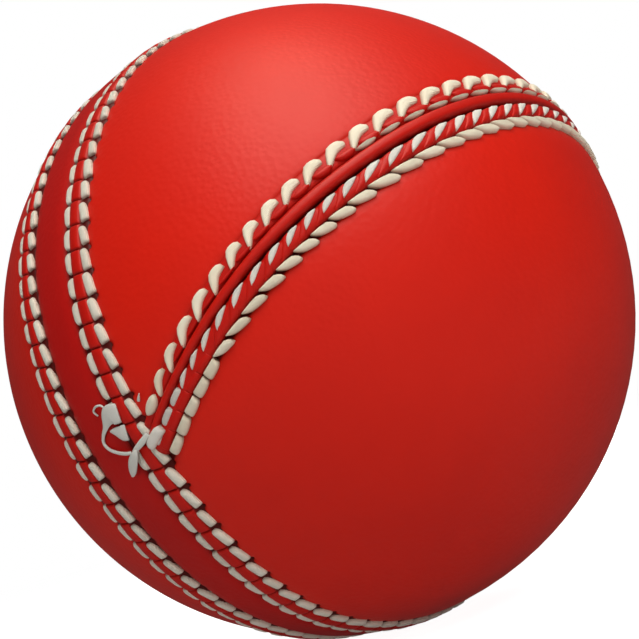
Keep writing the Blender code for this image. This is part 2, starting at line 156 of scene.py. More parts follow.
def make_piece(name, verts_mm, faces, marks=None):
    """A smooth mesh object at the origin; marks are named numbers on its points."""
    mesh = bpy.data.meshes.new(name)
    mesh.from_pydata((np.asarray(verts_mm) * MM).tolist(), [], faces)
    body = bmesh.new()
    body.from_mesh(mesh)
    bmesh.ops.recalc_face_normals(body, faces=body.faces)
    body.to_mesh(mesh)
    body.free()
    mesh.shade_smooth()
    for label, values in (marks or {}).items():
        mark = mesh.attributes.new(label, "FLOAT", "POINT")
        mark.data.foreach_set("value", np.asarray(values, np.float32))
    return set_down(name, mesh)


def to_piece(name, body):
    """A smooth mesh object made from an edit mesh, which is freed."""
    mesh = bpy.data.meshes.new(name)
    body.to_mesh(mesh)
    body.free()
    mesh.shade_smooth()
    return set_down(name, mesh)


def tube_faces(count, sides, closed):
    """Faces of a tube of sections; an open tube gets a cap at each end."""
    faces = []
    for i in range(count if closed else count - 1):
        j = (i + 1) % count
        for k in range(sides):
            m = (k + 1) % sides
            faces.append((i * sides + k, i * sides + m, j * sides + m, j * sides + k))
    if not closed:
        faces.append(tuple(range(sides)))
        faces.append(tuple((count - 1) * sides + k for k in range(sides)))
    return faces


def swept(name, sections, closed, marks=None):
    """A tube through sections of shape (count, sides, 3)."""
    count, sides = sections.shape[:2]
    return make_piece(name, sections.reshape(-1, 3), tube_faces(count, sides, closed), marks)


TURN = Matrix.Rotation(np.radians(-90.0), 3, "Y") @ Matrix.Rotation(np.pi, 3, "Z")


def back_copy(piece, name):
    """The back half of the ball is the front half turned round, its seam at right angles."""
    mesh = piece.data.copy()
    mesh.name = name
    mesh.transform(TURN.to_4x4())
    return set_down(name, mesh)


def finish_piece(piece, material, slot, *nodes):
    """Give a piece its finish, hide the frame's parts that it stands for, and hang it on the root.
    """
    piece.data.materials.clear()
    piece.data.materials.append(material)
    if nodes:
        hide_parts(*nodes)
    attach(piece, "root")
    print(piece.name, len(piece.data.polygons), "faces")


print("a closed tube of 90 six-sided sections has", len(tube_faces(90, 6, True)), "faces")

# %% [markdown]
# ## Finishes
# The case is alum-tanned leather, dyed right through, greased and polished: a fine grain, a soft
# broad shine and slightly uneven colour. Four leathers have the same grain, so it is one node
# group that each of their materials takes in, with a dye, gloss and pore depth of its own.

# %% Node helpers
def add_node(tree, kind, **settings):
    node = tree.nodes.new(kind)
    for key, value in settings.items():
        setattr(node, key, value)
    return node


def set_inputs(node, **values):
    for key, value in values.items():
        node.inputs[key.replace("_", " ")].default_value = value


def new_group(name, inputs, outputs):
    """An empty shader node group with its sockets and its input and output nodes."""
    group = bpy.data.node_groups.new(name, "ShaderNodeTree")
    for label, kind, default in inputs:
        socket = group.interface.new_socket(label, in_out="INPUT", socket_type=kind)
        if default is not None:
            socket.default_value = default
    for label, kind in outputs:
        group.interface.new_socket(label, in_out="OUTPUT", socket_type=kind)
    return group, add_node(group, "NodeGroupInput"), add_node(group, "NodeGroupOutput")


def join(tree, value, socket):
    """Link a socket, or set a number or a colour."""
    if isinstance(value, bpy.types.NodeSocket):
        tree.links.new(value, socket)
    else:
        socket.default_value = (*value, 1.0) if isinstance(value, tuple) else value


def maths(tree, operation, *values, clamp=False):
    """One sum; values are its two or three numbers or sockets."""
    node = add_node(tree, "ShaderNodeMath", operation=operation, use_clamp=clamp)
    for socket, value in zip(node.inputs, values):
        join(tree, value, socket)
    return node.outputs[0]


def mixed(tree, factor, first, second):
    """A colour mix; first and second are colours or sockets."""
    node = add_node(tree, "ShaderNodeMix", data_type="RGBA")
    for number, value in ((0, factor), (6, first), (7, second)):
        join(tree, value, node.inputs[number])
    return node.outputs[2]


def new_finish(name):
    """A new material, its node tree and its main shader."""
    material = bpy.data.materials.new(name)
    material.use_nodes = True
    return material, material.node_tree, material.node_tree.nodes["Principled BSDF"]


def raise_grain(tree, shader, height, depth_mm):
    """Turn a height into relief of a real depth."""
    bump = add_node(tree, "ShaderNodeBump")
    set_inputs(bump, Strength=1.0, Distance=depth_mm * MM)
    tree.links.new(height, bump.inputs["Height"])
    tree.links.new(bump.outputs["Normal"], shader.inputs["Normal"])


def uneven_gloss(tree, shader, pattern, change, least):
    """Roughness that wanders with a pattern."""
    rough = maths(tree, "MULTIPLY_ADD", pattern, change, least)
    tree.links.new(rough, shader.inputs["Roughness"])


node_helpers = (maths, mixed, new_finish, raise_grain, uneven_gloss)
print("helpers:", ", ".join(helper.__name__ for helper in node_helpers))

# %% Leather grain group
def build_leather_grain():
    """Fine pores and creases, and a slow cloudiness in the dye."""
    group, entry, exit_node = new_group(
        "leather grain",
        (
            ("Pore Scale", "NodeSocketFloat", 1900.0),
            ("Cloud Scale", "NodeSocketFloat", 45.0),
            ("Crease Share", "NodeSocketFloat", 0.35),
        ),
        (("Height", "NodeSocketFloat"), ("Cloud", "NodeSocketFloat")),
    )
    place_node = add_node(group, "ShaderNodeTexCoord")
    pores = add_node(group, "ShaderNodeTexVoronoi", feature="SMOOTH_F1")
    set_inputs(pores, Smoothness=0.6, Randomness=1.0)
    creases = add_node(group, "ShaderNodeTexNoise")
    set_inputs(creases, Detail=3.0, Roughness=0.55, Distortion=0.4)
    clouds = add_node(group, "ShaderNodeTexNoise")
    set_inputs(clouds, Detail=4.0, Roughness=0.6)
    for texture in (pores, creases, clouds):
        group.links.new(place_node.outputs["Object"], texture.inputs["Vector"])
    group.links.new(entry.outputs["Pore Scale"], pores.inputs["Scale"])
    half_scale = maths(group, "MULTIPLY", entry.outputs["Pore Scale"], 0.45)
    group.links.new(half_scale, creases.inputs["Scale"])
    group.links.new(entry.outputs["Cloud Scale"], clouds.inputs["Scale"])
    weighted = maths(group, "MULTIPLY", creases.outputs["Fac"], entry.outputs["Crease Share"])
    height = maths(group, "ADD", pores.outputs["Distance"], weighted)
    group.links.new(height, exit_node.inputs["Height"])
    group.links.new(clouds.outputs["Fac"], exit_node.inputs["Cloud"])
    return group


leather_grain = build_leather_grain()
print("group:", leather_grain.name)

# %% Leather finish
# deep red that the leather is painted towards as shade
SHADE_RED = (0.075, 0.003, 0.002)


def leather_finish(name, dye, deep_dye, roughness, pore_depth):
    """Dyed leather, darkened where its mesh is marked: painted shade in folds, creases and holes.
    """
    material, tree, shader = new_finish(name)
    grain = add_node(tree, "ShaderNodeGroup", node_tree=leather_grain)
    grime = add_node(tree, "ShaderNodeAttribute", attribute_name="grime")
    cloud = maths(tree, "MULTIPLY_ADD", grain.outputs["Cloud"], 1.8, -0.4, clamp=True)
    body = mixed(tree, cloud, dye, deep_dye)
    shaded = mixed(tree, grime.outputs["Fac"], body, SHADE_RED)
    tree.links.new(shaded, shader.inputs["Base Color"])
    uneven_gloss(tree, shader, grain.outputs["Cloud"], 0.16, roughness - 0.08)
    raise_grain(tree, shader, grain.outputs["Height"], pore_depth)
    set_inputs(shader, Specular_IOR_Level=0.22)
    return material


case_finish = leather_finish(
    "polished case leather", (0.62, 0.0105, 0.0020), (0.53, 0.0070, 0.0015), 0.48, 0.02
)
# its darker dye is painted shade, for the band lying low between the straps
band_finish = leather_finish(
    "seam band leather", (0.46, 0.003, 0.0012), (0.36, 0.002, 0.0010), 0.6, 0.02
)
ridge_finish = leather_finish(
    "pinched ridge leather", (0.50, 0.006, 0.0018), (0.40, 0.004, 0.0013), 0.5, 0.014
)
welt_finish = leather_finish(
    "rolled welt leather", (0.53, 0.007, 0.0018), (0.38, 0.004, 0.0012), 0.48, 0.014
)
for finish in (case_finish, band_finish, ridge_finish, welt_finish):
    print("leather:", finish.name, "with", len(finish.node_tree.nodes), "nodes")

# %% [markdown]
# ## Thread
# The stitches are waxed linen. Each one is a soft pillow with faint twisted fibres along it, a
# slightly different tone from its neighbours, and a reddish stain where it presses on the dyed
# leather. The stain follows a mark that each stitch carries at its rim, and the tone follows a
# number that each copy gets when the row is sewn.

# %% Thread groups and finish
def build_thread_twist():
    """Fibres twisted along the stitch's own length."""
    group, entry, exit_node = new_group(
        "thread twist",
        (("Strands", "NodeSocketFloat", 5.0), ("Fuzz", "NodeSocketFloat", 0.5)),
        (("Height", "NodeSocketFloat"), ("Fibre", "NodeSocketFloat")),
    )
    along = add_node(group, "ShaderNodeUVMap", uv_map="UVMap")
    stretched = add_node(group, "ShaderNodeMapping")
    set_inputs(stretched, Rotation=(0.0, 0.0, 0.32), Scale=(0.35, 1.0, 1.0))
    group.links.new(along.outputs["UV"], stretched.inputs["Vector"])
    strands = add_node(group, "ShaderNodeTexWave", bands_direction="Y")
    set_inputs(strands, Distortion=1.5, Detail=2.0)
    group.links.new(stretched.outputs["Vector"], strands.inputs["Vector"])
    group.links.new(entry.outputs["Strands"], strands.inputs["Scale"])
    solid = add_node(group, "ShaderNodeTexCoord")
    fuzz = add_node(group, "ShaderNodeTexNoise")
    set_inputs(fuzz, Scale=3800.0, Detail=3.0, Roughness=0.6)
    group.links.new(solid.outputs["Object"], fuzz.inputs["Vector"])
    fuzzy = maths(group, "MULTIPLY", fuzz.outputs["Fac"], entry.outputs["Fuzz"])
    height = maths(group, "ADD", strands.outputs["Fac"], fuzzy)
    group.links.new(height, exit_node.inputs["Height"])
    group.links.new(fuzz.outputs["Fac"], exit_node.inputs["Fibre"])
    return group


thread_twist = build_thread_twist()
STAIN_STRENGTH = 0.5             # how far a stitch takes on the dye at its rim


def thread_finish(name, pale, dull, stain, strand_depth):
    """Thread from pale to dull along its fibres and from stitch to stitch, stained at its rim."""
    material, tree, shader = new_finish(name)
    twist = add_node(tree, "ShaderNodeGroup", node_tree=thread_twist)
    tone = add_node(tree, "ShaderNodeAttribute", attribute_name="tone")
    rim = add_node(tree, "ShaderNodeAttribute", attribute_name="rim")
    fibre = twist.outputs["Fibre"]
    mixed_tone = maths(tree, "MULTIPLY_ADD", fibre, 0.6, tone.outputs["Fac"], clamp=True)
    scaled = maths(tree, "MULTIPLY", mixed_tone, 0.75, clamp=True)
    body = mixed(tree, scaled, pale, dull)
    edge = maths(tree, "POWER", rim.outputs["Fac"], 2.2, clamp=True)
    edge = maths(tree, "MULTIPLY", edge, STAIN_STRENGTH)
    stained = mixed(tree, edge, body, stain)
    tree.links.new(stained, shader.inputs["Base Color"])
    raise_grain(tree, shader, twist.outputs["Height"], strand_depth)
    uneven_gloss(tree, shader, fibre, 0.2, 0.5)
    set_inputs(shader, Specular_IOR_Level=0.35)
    return material


main_thread = thread_finish(
    "waxed seam thread", (0.99, 0.96, 0.86), (0.90, 0.85, 0.73), (0.38, 0.18, 0.12), 0.05
)
quarter_thread = thread_finish(
    "pale quarter thread", (0.98, 0.91, 0.75), (0.88, 0.79, 0.62), (0.42, 0.16, 0.08), 0.045
)
slim_thread = thread_finish(
    "cool quarter thread", (0.97, 0.95, 0.90), (0.85, 0.82, 0.77), (0.40, 0.16, 0.10), 0.045
)
knot_thread = thread_finish(
    "knot thread", (0.60, 0.61, 0.59), (0.44, 0.44, 0.41), (0.20, 0.15, 0.12), 0.015
)
print("materials:", len(bpy.data.materials))

# %% [markdown]
# ## The case
# Each quarter is cut from hide and stretched over the core, so its surface is smooth and full,
# but it tucks down where thread pulls it in. A sphere primitive would have its lines in the wrong
# places, so each quarter is its own grid: its columns run from the quarter seam to the main seam,
# close together at both edges where the relief is, and wider across the open leather.

# %% Relief of the leather
MAIN_STITCHES = 94
MAIN_PITCH = 360.0 / MAIN_STITCHES
FRONT_HOLES = -96.5              # longitude of one needle hole in each strap
BACK_HOLES = -99.0
FRONT_SLANT, BACK_SLANT = 0.10, 0.18
STRAP_MIDDLE = 6.87              # latitudes of a strap's middle and outer edge
STRAP_EDGE = 9.25


def wander(points):
    """Degrees of latitude that a hand-sewn strap strays, eased through (longitude, shift)."""
    grid = np.arange(-180.0, 181.0)
    window = np.hanning(13)
    rough = np.interp(grid, *np.array(points).T)
    soft = np.convolve(np.pad(rough, 6, mode="wrap"), window / window.sum(), "valid")
    return lambda longitude: np.interp((longitude + 180.0) % 360.0 - 180.0, grid, soft)


front_wander = wander(
    ((-180, 0), (-158, -0.9), (-150, -0.95), (-140, -0.45), (-130, 0.4), (-118, 0.75), (-112, 0.8),
     (-98, 0.1), (-87, -0.45), (-76, -0.5), (-50, 0.0), (60, 0.15), (140, -0.2), (180, 0))
)
back_wander = wander(
    ((-180, 0), (-150, 0.1), (-130, 0.3), (-115, 0.5), (-100, 0.2), (-87, -0.4), (-76, -1.2),
     (-62, -1.0), (-40, -0.2), (60, -0.15), (140, 0.15), (180, 0))
)


def crease_distance(longitude, phase):
    """Degrees of longitude to the nearest crease between stitches."""
    turns = (longitude - phase) / MAIN_PITCH
    return (turns - np.round(turns)) * MAIN_PITCH


def needle_hole(away, across):
    """How far into a needle hole a place is, from 0 to 1, given its two distances in degrees."""
    return np.exp(-((away / 0.26) ** 2)) * np.exp(-((across / 0.34) ** 2))


# degrees out from a strap's edge, and how deep the leather lies there in mm
EDGE_STEPS = (-1.2, -0.55, -0.25, 0.0, 0.4, 1.1, 2.4)
EDGE_DEPTHS = (0.42, 0.32, 0.16, 0.09, 0.05, 0.02, 0.0)
PULL_DEPTH = 0.07                # mm that the thread pulls the leather down around a hole
HOLE_DEPTH = 0.26


def leather_relief(spots, phase, stray):
    """Depth below the smooth ball in mm, and painted shade from 0 to 1, at unit directions."""
    longitude, latitude = main_numbers(spots)
    seam_longitude, angle = quarter_numbers(spots)
    off_main = latitude - STRAP_EDGE - stray(longitude)
    off_quarter = np.where(
        angle > QUARTER_CUT,
        angle - row_one_outer(seam_longitude) + 0.22,
        row_two_outer(seam_longitude) - angle + 0.3,
    )
    depth_main = np.interp(off_main, EDGE_STEPS, EDGE_DEPTHS)
    depth_quarter = np.interp(off_quarter, EDGE_STEPS, EDGE_DEPTHS)
    away = crease_distance(longitude, phase) * np.cos(np.radians(latitude))
    pull = np.exp(-((away / 0.7) ** 2)) * np.exp(-((off_main / 0.9) ** 2))
    hole = needle_hole(away, off_main - 0.2)
    depth = (depth_main**3 + depth_quarter**3) ** (1 / 3) + PULL_DEPTH * pull + HOLE_DEPTH * hole
    # painted shade: dark at the seams' edges and in needle holes, faint beside each seam
    near = np.minimum(off_main, off_quarter)
    grime = np.clip(1.0 - (near + 0.55) / 0.4, 0.0, 1.0)
    grime = np.maximum(grime, np.clip(hole * 1.5 - 0.2, 0.0, 0.95))
    shade = 0.22 * np.exp(-np.clip(near, 0.0, None) / 0.4)
    return depth, np.clip(grime + shade, 0.0, 1.0)


print("main seam pitch", round(np.radians(MAIN_PITCH) * BALL_RADIUS, 2), "mm")

# %% Quarter grids
UNDER_STRAP = 7.2                # the leather runs in under the strap to this latitude
INNER_FACE = 33.2                # radius of the leather's inner face
SEAM_SEAT = 35.5                 # radius that the main seam's leather sits on
FINE_STEP = 0.22                 # degrees between rows where the relief is
COLUMNS = 620


def unit(vectors):
    return vectors / np.linalg.norm(vectors, axis=-1, keepdims=True)


def foot(angle, latitude):
    """Longitude about the quarter pole where its circle comes down to a latitude."""
    rise = np.sin(np.radians(latitude)) - np.cos(np.radians(angle)) * np.cos(LEAN)
    return float(np.degrees(np.arccos(rise / (np.sin(np.radians(angle)) * np.sin(LEAN)))))


def column_steps(lengths):
    """Share of each column's length at every row: fine at both edges, wide in the middle."""
    fine_first, wide, fine_last = 44, 26, 26
    middle = np.maximum(lengths - FINE_STEP * (fine_first + fine_last), lengths * 0.12)
    steps = np.concatenate(
        (
            np.full((len(lengths), fine_first), FINE_STEP),
            np.repeat((middle / wide)[:, None], wide, axis=1),
            np.full((len(lengths), fine_last), FINE_STEP),
        ),
        axis=1,
    )
    totals = np.cumsum(steps, axis=1)
    return np.hstack((np.zeros((len(lengths), 1)), totals / totals[:, -1:]))


def quarter_directions(upper):
    """Unit directions of a quarter's grid, columns by rows."""
    end = foot(QUARTER_CUT, UNDER_STRAP)
    longitudes = np.linspace(-end * 0.9985, end * 0.9985, COLUMNS)
    near = unit(on_quarter(longitudes, QUARTER_CUT, 1.0))
    corner = main_numbers(unit(on_quarter(np.array([end]), QUARTER_CUT, 1.0)))[0][0]
    if upper:
        ring = np.linspace(-corner, corner, COLUMNS)
    else:
        ring = np.linspace(-corner, -(360.0 - corner), COLUMNS)
    ease = np.linspace(-1.0, 1.0, COLUMNS)
    ring = ring.mean() + (ring[-1] - ring[0]) / 2.0 * (0.72 * ease + 0.28 * ease**3)
    far = unit(on_main(ring, UNDER_STRAP, 1.0))
    spread = np.arccos(np.clip((near * far).sum(1), -1.0, 1.0))
    share = column_steps(np.degrees(spread))
    a = np.sin((1.0 - share) * spread[:, None]) / np.sin(spread)[:, None]
    b = np.sin(share * spread[:, None]) / np.sin(spread)[:, None]
    return unit(a[..., None] * near[:, None] + b[..., None] * far[:, None])


def quarter_leather(name, upper, phase, stray):
    """One quarter as a closed shell: a fine outer face and a plain inner one."""
    spots = quarter_directions(upper)
    columns, rows = spots.shape[:2]
    depth, grime = leather_relief(spots.reshape(-1, 3), phase, stray)
    depth = depth.reshape(columns, rows)
    outside = spots * (BALL_RADIUS - depth)[..., None]
    picks = np.unique(np.concatenate((np.arange(0, rows, 12), [rows - 1])))
    inside = spots[:, picks] * INNER_FACE
    verts = np.concatenate((outside.reshape(-1, 3), inside.reshape(-1, 3)))
    # the hidden inner face is painted fully shaded
    marks = np.concatenate((grime, np.ones(columns * len(picks))))
    faces = []
    base = columns * rows
    inner_rows = len(picks)
    for i in range(columns - 1):
        for k in range(rows - 1):
            a = i * rows + k
            faces.append((a, a + 1, a + rows + 1, a + rows))
        for k in range(inner_rows - 1):
            a = base + i * inner_rows + k
            faces.append((a, a + inner_rows, a + inner_rows + 1, a + 1))
        for k, m in ((0, 0), (rows - 1, inner_rows - 1)):
            a = i * rows + k
            b = base + i * inner_rows + m
            faces.append((a, a + rows, b + inner_rows, b))
    for i in (0, columns - 1):
        edge = [i * rows + k for k in range(rows)]
        edge += [base + i * inner_rows + k for k in reversed(range(inner_rows))]
        faces.append(tuple(edge))
    return make_piece(name, verts, faces, {"grime": marks})


def seen_turned(stray):
    """The back strap's wander as it looks before the back half is turned into place."""
    return lambda longitude: -stray(-90.0 - longitude)


front_upper = quarter_leather("case_front_upper", True, FRONT_HOLES, front_wander)
front_lower = quarter_leather("case_front_lower", False, FRONT_HOLES, front_wander)
back_stray = seen_turned(back_wander)
unturned_left = quarter_leather("unturned_left", True, -90.0 - BACK_HOLES, back_stray)
unturned_right = quarter_leather("unturned_right", False, -90.0 - BACK_HOLES, back_stray)
back_left = back_copy(unturned_left, "case_back_left")
back_right = back_copy(unturned_right, "case_back_right")
for pattern in (unturned_left, unturned_right):
    bpy.data.objects.remove(pattern)
finish_piece(front_upper, case_finish, "case_leather", "leather_quarter_front_upper")
finish_piece(front_lower, case_finish, "case_leather", "leather_quarter_front_lower")
finish_piece(back_left, case_finish, "case_leather", "leather_quarter_back_left")
finish_piece(back_right, case_finish, "case_leather", "leather_quarter_back_right")

# %% [markdown]
# ## The main seam's leather
# Between the two straps the edges of the halves meet under a smooth band. In each strap the
# leather is pinched up into a narrow ridge with a column of stitches on either side, and it
# creases where each stitch pulls across it. Both are rings: one section, swept right round.

# %% Seam band
BAND_HALF = 4.3                  # degrees of latitude from the band's middle to its edge
BAND_CROWN = 36.16
BAND_HOLE_DEPTH = 0.25
BAND_STEPS = 940


def build_band():
    """A ring between the straps, with a needle hole beside each stitch of the back one."""
    across = np.linspace(-1.0, 1.0, 17)
    longitude = np.arange(BAND_STEPS) * 360.0 / BAND_STEPS
    grid_longitude, grid_across = np.meshgrid(longitude, across, indexing="ij")
    share = (1.0 + grid_across) / 2.0
    latitude = grid_across * BAND_HALF + share * front_wander(grid_longitude)
    latitude = latitude + (1.0 - share) * back_wander(grid_longitude)
    crown = BAND_CROWN - 0.35 * np.abs(grid_across) ** 5.0
    away = crease_distance(grid_longitude, BACK_HOLES)
    edge = (1.0 + grid_across) * BAND_HALF
    hole = needle_hole(away, edge - 0.45)
    top = on_main(grid_longitude, latitude, crown - BAND_HOLE_DEPTH * hole)
    under = on_main(grid_longitude[:, ::8], latitude[:, ::8], SEAM_SEAT)[:, ::-1]
    # painted shade in the needle holes, at the band's edges and on its hidden underside
    grime = 0.9 * np.clip(hole * 1.5 - 0.2, 0.0, 1.0) + 0.5 * np.abs(grid_across) ** 12
    marks = np.concatenate((grime, np.ones((BAND_STEPS, under.shape[1]))), axis=1)
    sections = np.concatenate((top, under), axis=1)
    return swept("main_seam_band", sections, True, {"grime": np.clip(marks, 0, 1).ravel()})


band = build_band()
finish_piece(band, band_finish, "seam_leather", "seam_band")

# %% Strap ridges
RIDGE_LATITUDES = np.array(
    (-2.7, -2.3, -1.6, -1.08, -0.98, -0.8, -0.4, 0.0, 0.4, 0.8, 0.98, 1.08, 1.6, 2.3, 2.7)
)
RIDGE_RADII = np.array(
    (35.7, 35.95, 35.98, 36.05, 36.26, 36.33, 36.38, 36.4, 36.38, 36.33, 36.26, 36.05, 35.98,
     35.92, 35.65)
)
CREASE_PLACES = np.array((-0.5, -0.25, -0.1, -0.045, -0.02, 0.0, 0.02, 0.045, 0.1, 0.25))


def build_ridge(name, side, stray, phase, slant):
    """side is 1 in front and -1 behind; slant tilts each crease, in longitude per latitude."""
    turns = (np.arange(MAIN_STITCHES)[:, None] + CREASE_PLACES[None]).ravel()
    sway = np.random.default_rng(7).normal(0.0, 0.05, MAIN_STITCHES)
    spots = (turns + np.repeat(sway, len(CREASE_PLACES))) * MAIN_PITCH + phase
    grid_place, grid_offset = np.meshgrid(spots, RIDGE_LATITUDES, indexing="ij")
    radius = np.broadcast_to(RIDGE_RADII, grid_place.shape)
    crease = np.tile(np.exp(-((CREASE_PLACES / 0.035) ** 2)), MAIN_STITCHES)[:, None]
    swell = np.tile(np.abs(CREASE_PLACES * 2.0) ** 1.5, MAIN_STITCHES)[:, None]
    raised = np.clip((radius - BALL_RADIUS) / 0.4, 0.0, 1.0)
    radius = radius - raised * (0.3 * crease - 0.03 * swell)
    longitude = grid_place - slant * grid_offset
    latitude = side * STRAP_MIDDLE + grid_offset + stray(longitude)
    top = on_main(longitude, latitude, radius)
    ends = [0, len(RIDGE_LATITUDES) - 1]
    under = on_main(longitude[:, ends], latitude[:, ends], SEAM_SEAT)[:, ::-1]
    # painted shade: darker low on the ridge's sides, in each crease and underneath
    grime = np.clip(1.0 - raised * 1.6, 0.0, 1.0) + 0.75 * crease
    marks = np.concatenate((grime, np.ones((len(spots), 2))), axis=1)
    sections = np.concatenate((top, under), axis=1)
    return swept(name, sections, True, {"grime": np.clip(marks, 0, 1).ravel()})


# a slanted crease comes in line with its needle hole this many degrees out from the middle
SLANT_REACH = 3.2
FRONT_PHASE = FRONT_HOLES + FRONT_SLANT * SLANT_REACH
BACK_PHASE = BACK_HOLES + BACK_SLANT * SLANT_REACH
front_ridge = build_ridge("strap_ridge_front", 1.0, front_wander, FRONT_PHASE, FRONT_SLANT)
back_ridge = build_ridge("strap_ridge_back", -1.0, back_wander, BACK_PHASE, BACK_SLANT)
finish_piece(front_ridge, ridge_finish, "ridge_leather", "seam_ridge_front")
finish_piece(back_ridge, ridge_finish, "ridge_leather", "seam_ridge_back")

# %% [markdown]
# ## One stitch
# A stitch is a short length of thick thread pulled flat: a pillow with a given outline, rounded
# over its width, and diving at both ends. Its outline is two edges, each through a few points
# from its left end to its right end. The same helper makes square-ended stitches, leaf-shaped
# ones and the small folds of red leather between them, all from one coarse grid.

# %% Stitch shapes
ALONG = np.array((0.0, 0.05, 0.14, 0.28, 0.44, 0.6, 0.76, 0.88, 0.96, 1.0))
ACROSS = np.array((-1.0, -0.84, -0.45, 0.0, 0.45, 0.84, 1.0))
ROUNDING = np.array((0.1, 0.62, 0.93, 1.0, 0.93, 0.62, 0.1))
SKIRT_DEPTH = -0.7               # level that the sides run down to, in stitch heights


def stitch_shape(name, low, high, ends=(0.55, 0.5)):
    """low and high are lists of (share of length, edge) with the edge from -0.5 to 0.5."""
    low_edge = np.interp(ALONG, *np.array(low).T)
    high_edge = np.interp(ALONG, *np.array(high).T)
    swell = (ends[0], 0.86, 1.0, 1.0, 0.86, ends[1])
    rise = np.interp(ALONG, (0.0, 0.07, 0.25, 0.75, 0.93, 1.0), swell)
    columns, rows = len(ALONG), len(ACROSS)
    middle, half = (low_edge + high_edge) / 2.0, (high_edge - low_edge) / 2.0
    x = np.repeat(ALONG - 0.5, rows).reshape(columns, rows)
    y = middle[:, None] + half[:, None] * ACROSS[None]
    z = rise[:, None] * ROUNDING[None]
    top = np.stack((x, y, z), axis=-1).reshape(-1, 3)
    rim_order = list(range(rows))
    rim_order += [i * rows + rows - 1 for i in range(1, columns)]
    rim_order += [(columns - 1) * rows + k for k in range(rows - 2, -1, -1)]
    rim_order += [i * rows for i in range(columns - 2, 0, -1)]
    skirt = top[rim_order].copy()
    skirt[:, 2] = SKIRT_DEPTH
    verts = np.concatenate((top, skirt))
    faces = []
    for i in range(columns - 1):
        for k in range(rows - 1):
            a = i * rows + k
            faces.append((a, a + rows, a + rows + 1, a + 1))
    count = len(rim_order)
    start = len(top)
    for n in range(count):
        m = (n + 1) % count
        faces.append((rim_order[n], rim_order[m], start + m, start + n))
    faces.append(tuple(start + n for n in range(count)))
    rim = np.maximum(np.abs(ACROSS)[None] ** 3, (np.abs(ALONG - 0.5) * 2.0)[:, None] ** 8)
    marks = np.concatenate((rim.ravel(), np.ones(count)))
    piece = make_piece(name, verts / MM, faces, {"rim": marks})
    chart = piece.data.uv_layers.new(name="UVMap")
    spots = np.array([verts[loop.vertex_index][:2] for loop in piece.data.loops])
    chart.data.foreach_set("uv", (spots + 0.5).ravel().astype(np.float32))
    bpy.context.scene.collection.objects.unlink(piece)
    return piece


oval = stitch_shape(
    "oval stitch",
    [(0.0, -0.05), (0.1, -0.32), (0.3, -0.48), (0.6, -0.5), (0.85, -0.36), (1.0, 0.0)],
    [(0.0, 0.05), (0.15, 0.34), (0.4, 0.5), (0.7, 0.5), (0.9, 0.32), (1.0, 0.1)],
    (0.4, 0.4),
)
brick_low = stitch_shape(
    "square stitch, free edge first",
    [(0.0, -0.4), (0.06, -0.48), (0.35, -0.5), (0.7, -0.44), (0.92, -0.3), (1.0, -0.12)],
    [(0.0, 0.44), (0.05, 0.5), (0.95, 0.5), (1.0, 0.46)],
    (0.34, 0.34),
)
brick_high = stitch_shape(
    "square stitch, round edge last",
    [(0.0, -0.44), (0.05, -0.5), (0.96, -0.5), (1.0, -0.42)],
    [(0.0, 0.16), (0.08, 0.34), (0.28, 0.48), (0.55, 0.5), (0.8, 0.48), (0.93, 0.34), (1.0, 0.12)],
)
hooked_leaf = stitch_shape(
    "hooked stitch",
    [(0.0, -0.5), (0.2, -0.42), (0.4, -0.24), (0.55, -0.1), (0.8, -0.04), (1.0, -0.02)],
    [(0.0, -0.4), (0.1, -0.12), (0.25, 0.22), (0.42, 0.46), (0.6, 0.5), (0.86, 0.46), (1.0, 0.26)],
    (0.35, 0.8),
)
slim_leaf = stitch_shape(
    "slim leaf stitch",
    [(0.0, -0.5), (0.3, -0.34), (0.6, -0.1), (1.0, 0.3)],
    [(0.0, -0.44), (0.1, 0.02), (0.35, 0.42), (0.6, 0.5), (1.0, 0.38)],
    (0.7, 0.3),
)
rope_leaf = stitch_shape(
    "rope leaf stitch",
    [(0.0, 0.42), (0.2, -0.04), (0.5, -0.32), (0.8, -0.46), (0.93, -0.5), (1.0, -0.42)],
    [(0.0, 0.5), (0.4, 0.5), (0.78, 0.38), (0.95, 0.06), (1.0, -0.3)],
    (0.2, 0.85),
)
sliver = stitch_shape(
    "sliver",
    [(0.0, 0.1), (0.3, -0.36), (0.6, -0.5), (0.85, -0.35), (1.0, -0.1)],
    [(0.0, 0.2), (0.3, 0.4), (0.6, 0.5), (0.85, 0.3), (1.0, 0.0)],
    (0.3, 0.3),
)
chevron = stitch_shape(
    "leather chevron",
    [(0.0, -0.5), (0.45, -0.5), (0.65, -0.35), (1.0, 0.3)],
    [(0.0, -0.42), (0.3, 0.0), (0.65, 0.48), (1.0, 0.5)],
    (0.7, 0.5),
)
strip = stitch_shape(
    "leather strip",
    [(0.0, -0.5), (1.0, -0.5)],
    [(0.0, 0.5), (1.0, 0.5)],
    (0.8, 0.8),
)
knuckle = stitch_shape(
    "leather knuckle",
    [(0.0, 0.25), (0.15, -0.25), (0.5, -0.5), (0.85, -0.35), (1.0, 0.1)],
    [(0.0, 0.35), (0.3, 0.5), (0.7, 0.5), (1.0, 0.2)],
    (0.4, 0.4),
)
print("a stitch has", len(brick_low.data.polygons), "faces")

# %% [markdown]
# ## Sewing a row
# A row is a list of places, each with a direction along the seam, a length, a width, a lean and
# a tip. Geometry Nodes set one stitch on each place, stand it on the ball, and vary it a little
# as a hand would. The tree ends by making the copies real and giving them their finish.

